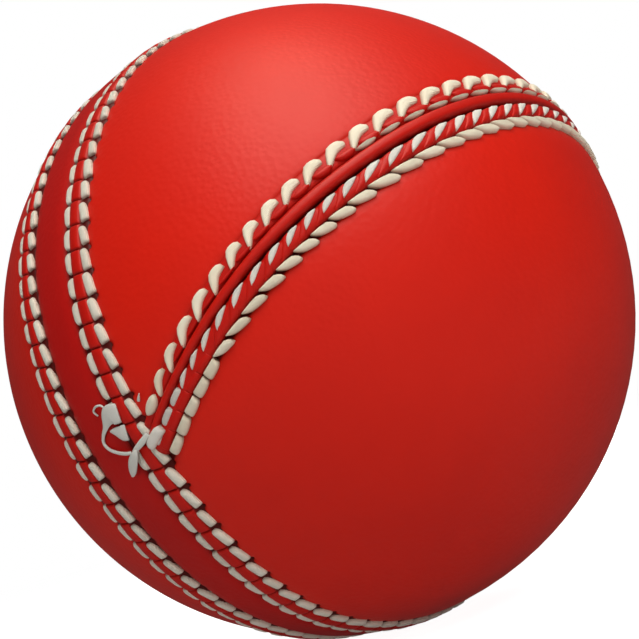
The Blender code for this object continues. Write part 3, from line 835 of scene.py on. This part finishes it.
# %% Sewing tree
def build_sewing_tree():
    """One stitch on each point, stood outward, leaned and tipped, then made real and finished."""
    tree = bpy.data.node_groups.new("sew a row", "GeometryNodeTree")
    inputs = (
        ("Geometry", "Geometry"), ("Stitch", "Object"), ("Finish", "Material"),
        ("Height", "Float"), ("Size Change", "Float"), ("Lean Change", "Float"), ("Seed", "Int"),
    )
    for label, kind in inputs:
        tree.interface.new_socket(label, in_out="INPUT", socket_type="NodeSocket" + kind)
    tree.interface.new_socket("Geometry", in_out="OUTPUT", socket_type="NodeSocketGeometry")
    entry = add_node(tree, "NodeGroupInput")
    exit_node = add_node(tree, "NodeGroupOutput")
    link = tree.links.new

    def named(label, kind):
        node = add_node(tree, "GeometryNodeInputNamedAttribute", data_type=kind)
        node.inputs["Name"].default_value = label
        return node.outputs[0]

    def chance(low, high, offset):
        node = add_node(tree, "FunctionNodeRandomValue", data_type="FLOAT")
        join(tree, low, node.inputs[2])
        join(tree, high, node.inputs[3])
        shifted = maths(tree, "ADD", entry.outputs["Seed"], float(offset))
        link(shifted, node.inputs["Seed"])
        return node.outputs[1]

    points = add_node(tree, "GeometryNodeMeshToPoints")
    link(entry.outputs["Geometry"], points.inputs["Mesh"])
    position = add_node(tree, "GeometryNodeInputPosition")
    outward = add_node(tree, "ShaderNodeVectorMath", operation="NORMALIZE")
    link(position.outputs[0], outward.inputs[0])
    stand = add_node(tree, "FunctionNodeAxesToRotation", primary_axis="Z", secondary_axis="X")
    link(outward.outputs[0], stand.inputs[0])
    link(named("along", "FLOAT_VECTOR"), stand.inputs[1])
    less = maths(tree, "MULTIPLY", entry.outputs["Lean Change"], -1.0)
    sway = chance(less, entry.outputs["Lean Change"], 1)
    lean = maths(tree, "ADD", named("lean", "FLOAT"), sway)
    turn = add_node(tree, "FunctionNodeAxisAngleToRotation")
    turn.inputs["Axis"].default_value = (0.0, 0.0, 1.0)
    link(lean, turn.inputs["Angle"])
    tip = add_node(tree, "FunctionNodeAxisAngleToRotation")
    tip.inputs["Axis"].default_value = (0.0, 1.0, 0.0)
    link(named("tip", "FLOAT"), tip.inputs["Angle"])
    leaned = add_node(tree, "FunctionNodeRotateRotation", rotation_space="LOCAL")
    link(stand.outputs[0], leaned.inputs[0])
    link(turn.outputs[0], leaned.inputs[1])
    tipped = add_node(tree, "FunctionNodeRotateRotation", rotation_space="LOCAL")
    link(leaned.outputs[0], tipped.inputs[0])
    link(tip.outputs[0], tipped.inputs[1])
    smaller = maths(tree, "SUBTRACT", 1.0, entry.outputs["Size Change"])
    scale = add_node(tree, "ShaderNodeCombineXYZ")
    length = maths(tree, "MULTIPLY", named("length", "FLOAT"), chance(smaller, 1.0, 2))
    width = maths(tree, "MULTIPLY", named("width", "FLOAT"), chance(smaller, 1.0, 3))
    height = maths(tree, "MULTIPLY", entry.outputs["Height"], chance(smaller, 1.0, 4))
    for value, socket in zip((length, width, height), scale.inputs):
        link(value, socket)
    model = add_node(tree, "GeometryNodeObjectInfo")
    link(entry.outputs["Stitch"], model.inputs["Object"])
    copies = add_node(tree, "GeometryNodeInstanceOnPoints")
    link(points.outputs[0], copies.inputs["Points"])
    link(model.outputs["Geometry"], copies.inputs["Instance"])
    link(tipped.outputs[0], copies.inputs["Rotation"])
    link(scale.outputs[0], copies.inputs["Scale"])
    store = add_node(
        tree, "GeometryNodeStoreNamedAttribute", data_type="FLOAT", domain="INSTANCE"
    )
    store.inputs["Name"].default_value = "tone"
    link(copies.outputs[0], store.inputs["Geometry"])
    link(chance(0.0, 0.7, 5), store.inputs["Value"])
    real = add_node(tree, "GeometryNodeRealizeInstances")
    link(store.outputs[0], real.inputs[0])
    paint = add_node(tree, "GeometryNodeSetMaterial")
    link(real.outputs[0], paint.inputs["Geometry"])
    link(entry.outputs["Finish"], paint.inputs["Material"])
    link(paint.outputs[0], exit_node.inputs[0])
    return tree


sewing_tree = build_sewing_tree()
SOCKETS = {
    item.name: item.identifier
    for item in sewing_tree.interface.items_tree
    if item.in_out == "INPUT"
}
print("sewing inputs:", list(SOCKETS))

# %% Sewing helper
PLACE_NUMBERS = ("length", "width", "lean", "tip")


def row_of(starts, ends, middle, width, point_at, lean=0.0, tip=0.0, radius=BALL_RADIUS):
    """Places for a row: starts and ends are longitudes, middle and width are in degrees."""
    centre = (starts + ends) / 2.0
    places = point_at(centre, middle, radius)
    ahead = point_at(ends, middle, radius)
    behind = point_at(starts, middle, radius)
    return {
        "places": places,
        "along": unit(ahead - behind),
        "length": np.linalg.norm(ahead - behind, axis=1) * MM,
        "width": np.broadcast_to(np.radians(width) * radius * MM, centre.shape),
        "lean": np.broadcast_to(np.radians(lean), centre.shape),
        "tip": np.broadcast_to(np.radians(tip), centre.shape),
    }


def sew(name, jobs, material, height=0.7, size_change=0.06, lean_change=2.0, seed=1):
    """Sew each (shape, row) of jobs and join the results into one plain mesh."""
    whole = bmesh.new()
    for number, (shape, row) in enumerate(jobs):
        places = bpy.data.meshes.new(name + " places")
        places.from_pydata((row["places"] * MM).tolist(), [], [])
        for label in PLACE_NUMBERS:
            mark = places.attributes.new(label, "FLOAT", "POINT")
            mark.data.foreach_set("value", np.asarray(row[label], np.float32))
        mark = places.attributes.new("along", "FLOAT_VECTOR", "POINT")
        mark.data.foreach_set("vector", row["along"].astype(np.float32).ravel())
        carrier = set_down(name + " carrier", places)
        needle = carrier.modifiers.new("sew", "NODES")
        needle.node_group = sewing_tree
        needle[SOCKETS["Stitch"]] = shape
        needle[SOCKETS["Finish"]] = material
        needle[SOCKETS["Height"]] = height * MM
        needle[SOCKETS["Size Change"]] = size_change
        needle[SOCKETS["Lean Change"]] = float(np.radians(lean_change))
        needle[SOCKETS["Seed"]] = seed * 10 + number
        seen = carrier.evaluated_get(bpy.context.evaluated_depsgraph_get())
        sewn = bpy.data.meshes.new_from_object(seen)
        whole.from_mesh(sewn)
        bpy.data.meshes.remove(sewn)
        bpy.data.objects.remove(carrier)
    return to_piece(name, whole)


print("each place carries its direction and its", ", ".join(PLACE_NUMBERS))

# %% [markdown]
# ## The main seam's stitches
# Four columns of square-ended stitches go right round the ball. Each column's free edge is
# rounded, and its other edge lies straight against the leather ridge. All four lean slightly the
# same way.

# %% Main seam stitches
COLUMN_OFFSET = 1.75             # latitude from a strap's middle to a column's middle
BRICK_WIDTH = 1.66
BRICK_BASE = 36.02
KNOT_GAP = (-107.0, -103.5)      # one inner stitch is missing here, under the tie-off
FIRST_STITCH = -8                # the stitch that a column is counted from
STITCH_START, STITCH_SHARE = 0.035, 0.93    # shares of the pitch: before a stitch, and its own


def main_column(side, offset, phase, slant, stray, lean):
    """The places of one column; side is 1 in front and -1 behind."""
    numbers = np.arange(FIRST_STITCH, MAIN_STITCHES + FIRST_STITCH)
    starts = phase + MAIN_PITCH * (numbers + STITCH_START) - slant * offset
    if side > 0.0 > offset:
        middle = starts + MAIN_PITCH * 0.5
        starts = starts[(middle < KNOT_GAP[0]) | (middle > KNOT_GAP[1])]
    ends = starts + MAIN_PITCH * STITCH_SHARE
    latitude = side * STRAP_MIDDLE + offset + stray((starts + ends) / 2.0)
    return row_of(starts, ends, latitude, BRICK_WIDTH, on_main, lean, 0.0, BRICK_BASE)


def sew_column(name, shape, side, offset, lean, seed):
    front = side > 0.0
    phase, slant = (FRONT_PHASE, FRONT_SLANT) if front else (BACK_PHASE, BACK_SLANT)
    stray = front_wander if front else back_wander
    row = main_column(side, offset, phase, slant, stray, lean)
    return sew(
        name, [(shape, row)], main_thread, height=0.38, size_change=0.17, lean_change=5.0, seed=seed
    )


front_outer = sew_column("stitches_front_outer", brick_low, 1.0, COLUMN_OFFSET, 9.0, 1)
front_inner = sew_column("stitches_front_inner", brick_high, 1.0, -COLUMN_OFFSET, 4.0, 2)
back_inner = sew_column("stitches_back_inner", brick_low, -1.0, COLUMN_OFFSET, 11.0, 3)
back_outer = sew_column("stitches_back_outer", brick_high, -1.0, -COLUMN_OFFSET, 4.0, 4)
finish_piece(front_outer, main_thread, "main_thread", "seam_thread_front_outer")
finish_piece(front_inner, main_thread, "main_thread", "seam_thread_front_inner")
finish_piece(back_inner, main_thread, "main_thread", "seam_thread_back_inner")
finish_piece(back_outer, main_thread, "main_thread", "seam_thread_back_outer")

# %% [markdown]
# ## The quarter seam
# Working outwards from the lower quarter: a rope of leaf stitches, a strip of red chevrons with
# slim leaves between them, a deep crease, the rounded welt, and a row of large hooked stitches
# laid over knuckles of leather. At both feet the leaves turn back into plain square stitches.

# %% Places along the quarter seam
def stepped(first, last, pitch_at):
    """Longitudes from first to last, each a pitch on from the one before."""
    places = [first]
    while places[-1] < last:
        places.append(places[-1] + float(pitch_at(abs(places[-1]))))
    return np.array(places)


def row_one_pitch(longitude):
    spots = (0.0, 20.0, 35.0, 44.0, 54.0, 62.0, 68.0, 74.0, 84.0, 90.0)
    return np.interp(longitude, spots, (5.0, 5.0, 5.0, 4.5, 4.2, 3.75, 4.0, 4.4, 4.25, 3.75))


def row_two_pitch(longitude):
    spots = (0.0, 25.0, 33.0, 43.0, 52.0, 60.0, 68.0, 76.0, 80.0, 94.0)
    return np.interp(longitude, spots, (4.1, 4.1, 4.8, 4.6, 3.55, 3.5, 4.1, 3.8, 3.2, 3.6))


row_one_places = stepped(-90.2, 88.0, row_one_pitch)
row_two_places = stepped(-93.8, 91.0, row_two_pitch)
pitch_one = row_one_pitch(np.abs(row_one_places))
pitch_two = row_two_pitch(np.abs(row_two_places))
middle_one = np.abs(row_one_places + pitch_one / 2.0)
middle_two = np.abs(row_two_places + pitch_two / 2.0)
print("quarter seam:", len(row_one_places), "hooked and", len(row_two_places), "rope stitches")


def quarter_row(starts, pitch, shift, share, low_edge, high_edge, radius, lean=0.0, tip=0.0):
    """A row of the quarter seam between two edges that vary along it."""
    begin = starts + pitch * shift
    end = begin + pitch * share
    centre = (begin + end) / 2.0
    low, high = low_edge(centre), high_edge(centre)
    row = row_of(begin, end, (low + high) / 2.0, high - low, on_quarter, lean, tip, radius)
    first, last = (
        on_quarter(spot, (low_edge(spot) + high_edge(spot)) / 2.0, radius) for spot in (begin, end)
    )
    row["along"] = unit(last - first)
    return row


def part_of(row, keep):
    """The places of a row that keep says to use."""
    return {label: values[keep] for label, values in row.items()}


# %% Quarter seam stitches
def offset_edge(edge, shift):
    return lambda longitude: edge(longitude) + shift


def slim_edge(longitude):
    spots = (20.0, 40.0, 56.0, 75.0, 85.0)
    shift = np.interp(np.abs(longitude), spots, (0.25, 0.45, 0.75, 1.2, 1.35))
    return row_two_line(longitude) + shift


# how far from the top of the arch each kind of stitch is used, in degrees of longitude
SLIVERS_REACH = 42.0
ROPE_LEAVES_REACH = 75.5
SLIM_LEAVES_REACH = 83.0
HOOKS_REACH = 84.5


def build_front_stitches():
    """The front quarter seam's four rows; the ends of the slim row fold over the strap."""
    hooked = quarter_row(
        row_one_places, pitch_one, 0.0, 1.0, row_one_inner, row_one_outer, 36.03
    )
    small = quarter_row(
        row_one_places, pitch_one, 0.1, 0.82,
        offset_edge(welt_far_edge, -0.05), offset_edge(welt_far_edge, 0.75), 36.16,
    )
    slim = quarter_row(row_two_places, pitch_two, 0.0, 0.92, slim_edge, row_two_crease, 36.12)
    slim_bricks = quarter_row(
        row_two_places, pitch_two, 0.03, 0.94, slim_edge, row_two_crease, 36.05
    )
    rope = quarter_row(
        row_two_places, pitch_two, -0.04, 1.1, row_two_outer, row_two_line, 36.03, 0.0, -2.0
    )
    rope_bricks = quarter_row(
        row_two_places, pitch_two, 0.03, 0.94,
        row_two_outer, offset_edge(row_two_line, -0.05), 36.03, -3.0,
    )
    over_strap = row_of(
        np.array((-94.6, 90.3)), np.array((-90.3, 94.6)), 70.15, 1.75, on_quarter,
        np.array((-9.0, 9.0)), 0.0, 36.36,
    )
    one = sew(
        "quarter_stitches_hooked",
        [(hooked_leaf, part_of(hooked, middle_one < HOOKS_REACH)),
         (oval, part_of(hooked, middle_one > HOOKS_REACH))],
        quarter_thread, 0.52, seed=11,
    )
    two = sew(
        "quarter_stitches_slivers", [(sliver, part_of(small, middle_one < SLIVERS_REACH))],
        quarter_thread, 0.42, seed=12,
    )
    three = sew(
        "quarter_stitches_slim",
        [(slim_leaf, part_of(slim, middle_two < SLIM_LEAVES_REACH)),
         (brick_high, part_of(slim_bricks, middle_two > SLIM_LEAVES_REACH)),
         (brick_high, over_strap)],
        slim_thread, 0.44, seed=13,
    )
    four = sew(
        "quarter_stitches_rope",
        [(rope_leaf, part_of(rope, middle_two < ROPE_LEAVES_REACH)),
         (brick_low, part_of(rope_bricks, middle_two > ROPE_LEAVES_REACH))],
        quarter_thread, 0.48, seed=14,
    )
    return one, two, three, four


front_stitches = build_front_stitches()
for number, piece in enumerate(front_stitches, 1):
    twin = back_copy(piece, piece.name + "_back")
    finish = slim_thread if number == 3 else quarter_thread
    finish_piece(piece, finish, "quarter_thread", f"front_quarter_thread_{number}")
    finish_piece(twin, finish, "quarter_thread", f"back_quarter_thread_{number}")

# %% [markdown]
# ## Leather of the quarter seam
# The welt is a rolled strip, full and rounded, that thins out towards both feet. The two ridges
# are the turned edges of the quarters: a low rounded bed, with a fold standing up between each
# pair of stitches. Beds are swept along their edges, and the folds are sewn on like stitches.

# %% Welt
QUARTER_SEAT = 35.3              # radius that the quarter seam's leather sits on
FULL_WIDTH = 1.2                 # degrees; a strip narrower than this is lower as well
WELT_REACH = 92.5                # longitude of the welt's two ends
STRIP_STEPS = 260


def swept_between(name, low_edge, high_edge, reach, profile, base):
    """A strip between two edges; profile is a list of (share across, radius, painted shade)."""
    longitude = np.linspace(-reach, reach, STRIP_STEPS)
    low, high = low_edge(longitude), high_edge(longitude)
    share, radius, grime = np.array(profile).T
    angle = low[:, None] + (high - low)[:, None] * share[None]
    thin = np.clip((high - low) / FULL_WIDTH, 0.25, 1.0)[:, None]
    heights = base + (radius[None] - base) * np.where(radius[None] > base, thin, 1.0)
    top = on_quarter(np.broadcast_to(longitude[:, None], angle.shape), angle, heights)
    both = np.broadcast_to(longitude[:, None], (STRIP_STEPS, 2))
    under = on_quarter(both, np.stack((high, low), axis=1), QUARTER_SEAT)
    sections = np.concatenate((top, under), axis=1)
    # painted shade across the strip, and full shade on its hidden underside
    shade_level = np.hstack((np.tile(grime, (STRIP_STEPS, 1)), np.ones((STRIP_STEPS, 2))))
    return swept(name, sections, False, {"grime": shade_level.ravel()})


def arch_profile(crown, edge, power, shade_level, far_shade_level=None):
    """A rounded section: crown and edge radii, fullness, and painted shade at its two sides."""
    share = (1.0 - np.cos(np.linspace(0.0, np.pi, 17))) / 2.0
    away = np.abs(share * 2.0 - 1.0)
    radius = edge + (crown - edge) * (1.0 - away**power) ** 0.5
    shade_levels = np.where(share < 0.5, shade_level, shade_level if far_shade_level is None else far_shade_level)
    return [(s, r, d * a**6) for s, r, d, a in zip(share, radius, shade_levels, away)]


def welt_low(longitude):
    return row_two_crease(longitude) + np.interp(np.abs(longitude), (60.0, 76.0), (0.28, -0.1))


def welt_high(longitude):
    return welt_far_edge(longitude) + 0.1


# painted shade, strong on the welt's low side by the crease and lighter on its far side
front_welt = swept_between(
    "welt_front", welt_low, welt_high, WELT_REACH, arch_profile(36.52, 35.5, 3.0, 1.0, 0.45), 35.5
)
back_welt = back_copy(front_welt, "welt_back")
finish_piece(front_welt, welt_finish, "welt_leather", "front_quarter_welt")
finish_piece(back_welt, welt_finish, "welt_leather", "back_quarter_welt")

# %% Ridges and folds of the quarter seam
def join_pieces(name, pieces):
    """Several plain meshes as one."""
    whole = bmesh.new()
    for piece in pieces:
        whole.from_mesh(piece.data)
        bpy.data.objects.remove(piece)
    return to_piece(name, whole)


def knuckle_edge(longitude):
    extra = np.interp(np.abs(longitude), (45.0, 60.0), (1.0, 0.55))
    return row_one_inner(longitude) + extra


KNUCKLE_REACH = 84.0             # the last stitch at each foot lies flat, with no knuckle under it
CHEVRONS_REACH = 77.0            # past here the folds are plain strips


def build_front_ridges():
    """The two ridges: each is a bed swept along its edges, with its folds sewn on."""
    reach_one, reach_two = foot(72.0, 9.6), foot(68.0, 10.3)
    # each bed is painted darker towards its edges, as shade where it meets the rows
    bed_one = swept_between(
        "bed one", welt_far_edge, offset_edge(row_one_outer, -0.3), reach_one,
        arch_profile(36.1, 35.7, 4.0, 0.3), 35.6,
    )
    knuckles = quarter_row(
        row_one_places, pitch_one, 0.34, 0.86, offset_edge(welt_far_edge, 0.1), knuckle_edge, 36.05
    )
    knuckles = part_of(knuckles, middle_one < KNUCKLE_REACH)
    folds_one = sew("folds one", [(knuckle, knuckles)], ridge_finish, 0.4, seed=21)
    bed_two = swept_between(
        "bed two", offset_edge(row_two_line, -0.1), offset_edge(row_two_crease, 0.05), reach_two,
        arch_profile(36.3, 35.7, 3.0, 0.9), 35.6,
    )
    chevrons = quarter_row(
        row_two_places, pitch_two, 0.42, 1.0, offset_edge(row_two_line, 0.05), row_two_crease, 36.05
    )
    strips = quarter_row(
        row_two_places, pitch_two, 0.02, 0.97, offset_edge(row_two_line, 0.02), slim_edge, 36.03
    )
    folds_two = sew(
        "folds two",
        [(chevron, part_of(chevrons, middle_two < CHEVRONS_REACH)),
         (strip, part_of(strips, middle_two > CHEVRONS_REACH))],
        ridge_finish, 0.36, seed=22,
    )
    return (
        join_pieces("quarter_ridge_one", [bed_one, folds_one]),
        join_pieces("quarter_ridge_two", [bed_two, folds_two]),
    )


for number, piece in enumerate(build_front_ridges(), 1):
    twin = back_copy(piece, piece.name + "_back")
    finish_piece(piece, ridge_finish, "ridge_leather", f"front_quarter_ridge_{number}")
    finish_piece(twin, ridge_finish, "ridge_leather", f"back_quarter_ridge_{number}")

# %% [markdown]
# ## The tie-off
# Where the quarter seam comes down to the front strap, the thread is finished with a flat loop
# and a short leaf-shaped tail. Each strand is a soft ribbon with its own width along the way.

# %% Knot
KNOT_STRANDS = (
    # (longitude, latitude, width mm, height mm) along each strand
    (
        (-101.9, 6.7, 1.75, 0.48), (-101.8, 6.0, 1.9, 0.54), (-101.7, 5.0, 1.85, 0.56),
        (-102.1, 4.1, 1.35, 0.5), (-103.0, 3.0, 0.62, 0.4),
        (-104.0, 1.6, 0.36, 0.32), (-105.0, 0.95, 0.33, 0.32), (-106.1, 1.5, 0.34, 0.36),
        (-107.0, 3.1, 0.34, 0.5), (-107.5, 4.6, 0.36, 0.64), (-107.7, 5.7, 0.3, 0.7),
    ),
    (
        (-107.6, 6.9, 0.3, 0.72), (-108.1, 6.3, 0.72, 0.82), (-109.0, 5.2, 1.0, 0.78),
        (-110.0, 4.1, 0.88, 0.66), (-110.7, 3.4, 0.45, 0.56), (-110.9, 3.2, 0.12, 0.5),
    ),
    (
        (-106.3, 9.9, 0.5, 0.55), (-106.9, 8.6, 0.6, 0.68), (-107.4, 7.2, 0.55, 0.7),
        (-107.7, 6.2, 0.34, 0.66),
    ),
    (
        (-101.1, 2.3, 0.16, 0.25), (-100.3, 2.0, 0.2, 0.34), (-99.8, 2.9, 0.22, 0.42),
        (-99.9, 3.9, 0.2, 0.42), (-100.4, 4.4, 0.14, 0.35),
    ),
    (
        (-104.9, 6.3, 1.5, 0.34), (-104.7, 5.5, 1.45, 0.4), (-104.2, 4.5, 0.9, 0.36),
        (-103.9, 3.6, 0.35, 0.28), (-103.85, 3.2, 0.08, 0.24),
    ),
    ((-101.6, 10.6, 0.3, 0.2), (-101.2, 11.0, 0.22, 0.32), (-100.7, 11.5, 0.08, 0.42)),
)


STRAND_THICKNESS = 0.24


def ribbon(name, strand):
    """A flat strand along a smooth curve through its points."""
    control = np.array(strand)
    fine = np.linspace(0, len(control) - 1, (len(control) - 1) * 7 + 1)
    padded = np.vstack((2 * control[0] - control[1], control, 2 * control[-1] - control[-2]))
    whole = np.clip(fine.astype(int), 0, len(control) - 2)
    u = (fine - whole)[:, None]
    p0, p1, p2, p3 = (padded[whole + k] for k in range(4))
    curve = 0.5 * (
        2 * p1 + (p2 - p0) * u + (2 * p0 - 5 * p1 + 4 * p2 - p3) * u**2
        + (3 * p1 - 3 * p2 + p3 - p0) * u**3
    )
    centre = on_main(curve[:, 0], curve[:, 1], BALL_RADIUS + curve[:, 3])
    outward = unit(centre)
    along = unit(np.gradient(centre, axis=0))
    across = unit(np.cross(along, outward))
    outward = unit(np.cross(across, along))
    turn = np.linspace(0.0, 2.0 * np.pi, 12, endpoint=False)
    wide = np.clip(curve[:, 2], 0.05, None)[:, None, None] * 0.5
    thick = np.minimum(wide, STRAND_THICKNESS * 0.5)
    sections = (
        centre[:, None]
        + across[:, None] * wide * np.cos(turn)[None, :, None]
        + outward[:, None] * thick * np.sin(turn)[None, :, None]
    )
    rim = np.tile(np.abs(np.cos(turn)) ** 6, (len(curve), 1))
    return swept(name, sections, False, {"rim": rim.ravel() * 0.6, "tone": np.full(rim.size, 0.1)})


strands = [ribbon(f"strand {n}", strand) for n, strand in enumerate(KNOT_STRANDS)]
knot = join_pieces("tie_off_knot", strands)
finish_piece(knot, knot_thread, "main_thread", "tie_knot")

# %% [markdown]
# ## What is inside
# The core, its windings and the lining stay as the engineering model made them, hidden by the
# case. They still get honest finishes: granular cork, wound yarn and rough split leather.

# %% Inner finishes
def inner_finish(name, pale, dark, scale, stretch, depth, roughness):
    """A rough finish of grains, drawn out along one direction by stretch."""
    material, tree, shader = new_finish(name)
    where = add_node(tree, "ShaderNodeTexCoord")
    squeeze = add_node(tree, "ShaderNodeMapping")
    set_inputs(squeeze, Scale=stretch)
    tree.links.new(where.outputs["Object"], squeeze.inputs["Vector"])
    grains = add_node(tree, "ShaderNodeTexVoronoi")
    set_inputs(grains, Scale=scale)
    fine = add_node(tree, "ShaderNodeTexNoise")
    set_inputs(fine, Scale=scale * 0.6, Detail=4.0)
    for texture in (grains, fine):
        tree.links.new(squeeze.outputs["Vector"], texture.inputs["Vector"])
    colour = mixed(tree, fine.outputs["Fac"], pale, dark)
    tree.links.new(colour, shader.inputs["Base Color"])
    raise_grain(tree, shader, grains.outputs["Distance"], depth)
    uneven_gloss(tree, shader, fine.outputs["Fac"], 0.1, roughness)
    return material


EVEN = (1.0, 1.0, 1.0)
cork = inner_finish(
    "bonded cork", (0.52, 0.32, 0.17), (0.22, 0.11, 0.05), 900.0, EVEN, 0.15, 0.82
)
yarn = inner_finish(
    "wound yarn", (0.70, 0.64, 0.54), (0.46, 0.40, 0.32), 1100.0, (0.3, 0.3, 2.4), 0.2, 0.85
)
lining = inner_finish(
    "split leather lining", (0.54, 0.39, 0.24), (0.36, 0.24, 0.14), 1300.0, EVEN, 0.05, 0.8
)
inner_nodes = 0
for node_name, node_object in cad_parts.items():
    for word, material in (("cork", cork), ("yarn", yarn), ("lining", lining)):
        if node_name.startswith(word):
            node_object.data.materials.clear()
            node_object.data.materials.append(material)
            inner_nodes += 1
print("inner nodes finished:", inner_nodes)

# %% [markdown]
# ## Stage, light and camera
# A pale floor and a plain bright studio keep attention on the ball. One large soft light above
# gives the broad glow on the crown. Two weaker ones, in front and behind, open the shadows
# without adding gloss, and a small one overhead adds only the shine.

# %% Floor and world
FLOOR_HALF = 3.0                 # metres


def build_floor():
    """A square level with the frame's lowest point, that looks nearly white to the camera."""
    around = ((-1.0, -1.0), (1.0, -1.0), (1.0, 1.0), (-1.0, 1.0))
    corners = [(x * FLOOR_HALF, y * FLOOR_HALF, cad_low.z) for x, y in around]
    mesh = bpy.data.meshes.new("studio_floor")
    mesh.from_pydata(corners, [], [(0, 1, 2, 3)])
    floor = set_down("studio_floor", mesh)
    paint, tree, shader = new_finish("pale floor paint")
    set_inputs(shader, Base_Color=(0.5, 0.5, 0.5, 1.0), Roughness=0.9, Specular_IOR_Level=0.1)
    set_inputs(shader, Emission_Color=(1.0, 1.0, 1.0, 1.0))
    rays = add_node(tree, "ShaderNodeLightPath")
    glow = maths(tree, "MULTIPLY_ADD", rays.outputs["Is Camera Ray"], 0.8, 0.15)
    tree.links.new(glow, shader.inputs["Emission Strength"])
    floor.visible_glossy = False
    mesh.materials.append(paint)
    return floor


build_floor()

studio = bpy.data.worlds.new("studio")
bpy.context.scene.world = studio
studio.use_nodes = True
sky = studio.node_tree
background = sky.nodes["Background"]
rays = add_node(sky, "ShaderNodeLightPath")
brightness = maths(sky, "MULTIPLY_ADD", rays.outputs["Is Camera Ray"], 0.91, 0.09)
sky.links.new(brightness, background.inputs["Strength"])
background.inputs["Color"].default_value = (1.0, 1.0, 1.0, 1.0)
bpy.context.scene.view_settings.view_transform = "Standard"
print("the floor lies at", round(cad_low.z / MM, 2), "mm")

# %% Camera
CAMERA_DISTANCE = 3.2 * BALL_RADIUS
AZIMUTH = np.radians(-50.4)
ELEVATION = np.radians(-9.4)
ROLL = np.radians(17.6)
HALF_VIEW = 0.3324               # tangent of half the angle of view
toward_camera = np.array(
    (np.sin(AZIMUTH) * np.cos(ELEVATION), -np.cos(AZIMUTH) * np.cos(ELEVATION), np.sin(ELEVATION))
)
level_right = unit(np.cross(TOP, toward_camera))
level_up = np.cross(toward_camera, level_right)
camera_right = np.cos(ROLL) * level_right - np.sin(ROLL) * level_up
camera_up = np.cross(toward_camera, camera_right)
lens_data = bpy.data.cameras.new("camera")
camera = bpy.data.objects.new("camera", lens_data)
bpy.context.scene.collection.objects.link(camera)
lens_data.sensor_width = 36.0
lens_data.lens = lens_data.sensor_width / 2.0 / HALF_VIEW
lens_data.clip_start = 0.001
lens_data.clip_end = 20.0
facing = Matrix((camera_right.tolist(), camera_up.tolist(), toward_camera.tolist())).transposed()
camera.matrix_world = Matrix.Translation(toward_camera * CAMERA_DISTANCE * MM) @ facing.to_4x4()
bpy.context.scene.camera = camera
print("lens", round(lens_data.lens, 1), "mm")

# %% Lights
def soft_light(name, direction, distance_mm, size_mm, power, tint, diffuse=True, glossy=True):
    """A soft disc aimed at the ball; direction is (right, up, toward the camera)."""
    way = unit(np.array(direction) @ np.array((camera_right, camera_up, toward_camera)))
    data = bpy.data.lights.new(name, "AREA")
    data.shape = "DISK"
    data.size = size_mm * MM
    data.energy = power
    data.color = tint
    light = bpy.data.objects.new(name, data)
    light.location = (way * distance_mm * MM).tolist()
    light.rotation_mode = "QUATERNION"
    light.rotation_quaternion = Vector((-way).tolist()).to_track_quat("-Z", "Y")
    light.visible_diffuse, light.visible_glossy = diffuse, glossy
    bpy.context.scene.collection.objects.link(light)
    return light


WARM, WARMER, PLAIN = (1.0, 0.96, 0.88), (1.0, 0.88, 0.68), (1.0, 1.0, 1.0)
soft_light("key softbox", (-0.02, 0.84, 0.54), 360.0, 300.0, 1.34, WARM)
soft_light("front fill", (-0.45, 0.15, 0.88), 500.0, 300.0, 0.45, WARM, glossy=False)
soft_light("rear fill", (0.2, 0.5, -1.0), 500.0, 300.0, 1.2, PLAIN, glossy=False)
soft_light("overhead shine", (-0.14, 0.92, 0.14), 260.0, 150.0, 0.36, WARMER, diffuse=False)
print("lights:", len(bpy.data.lights))
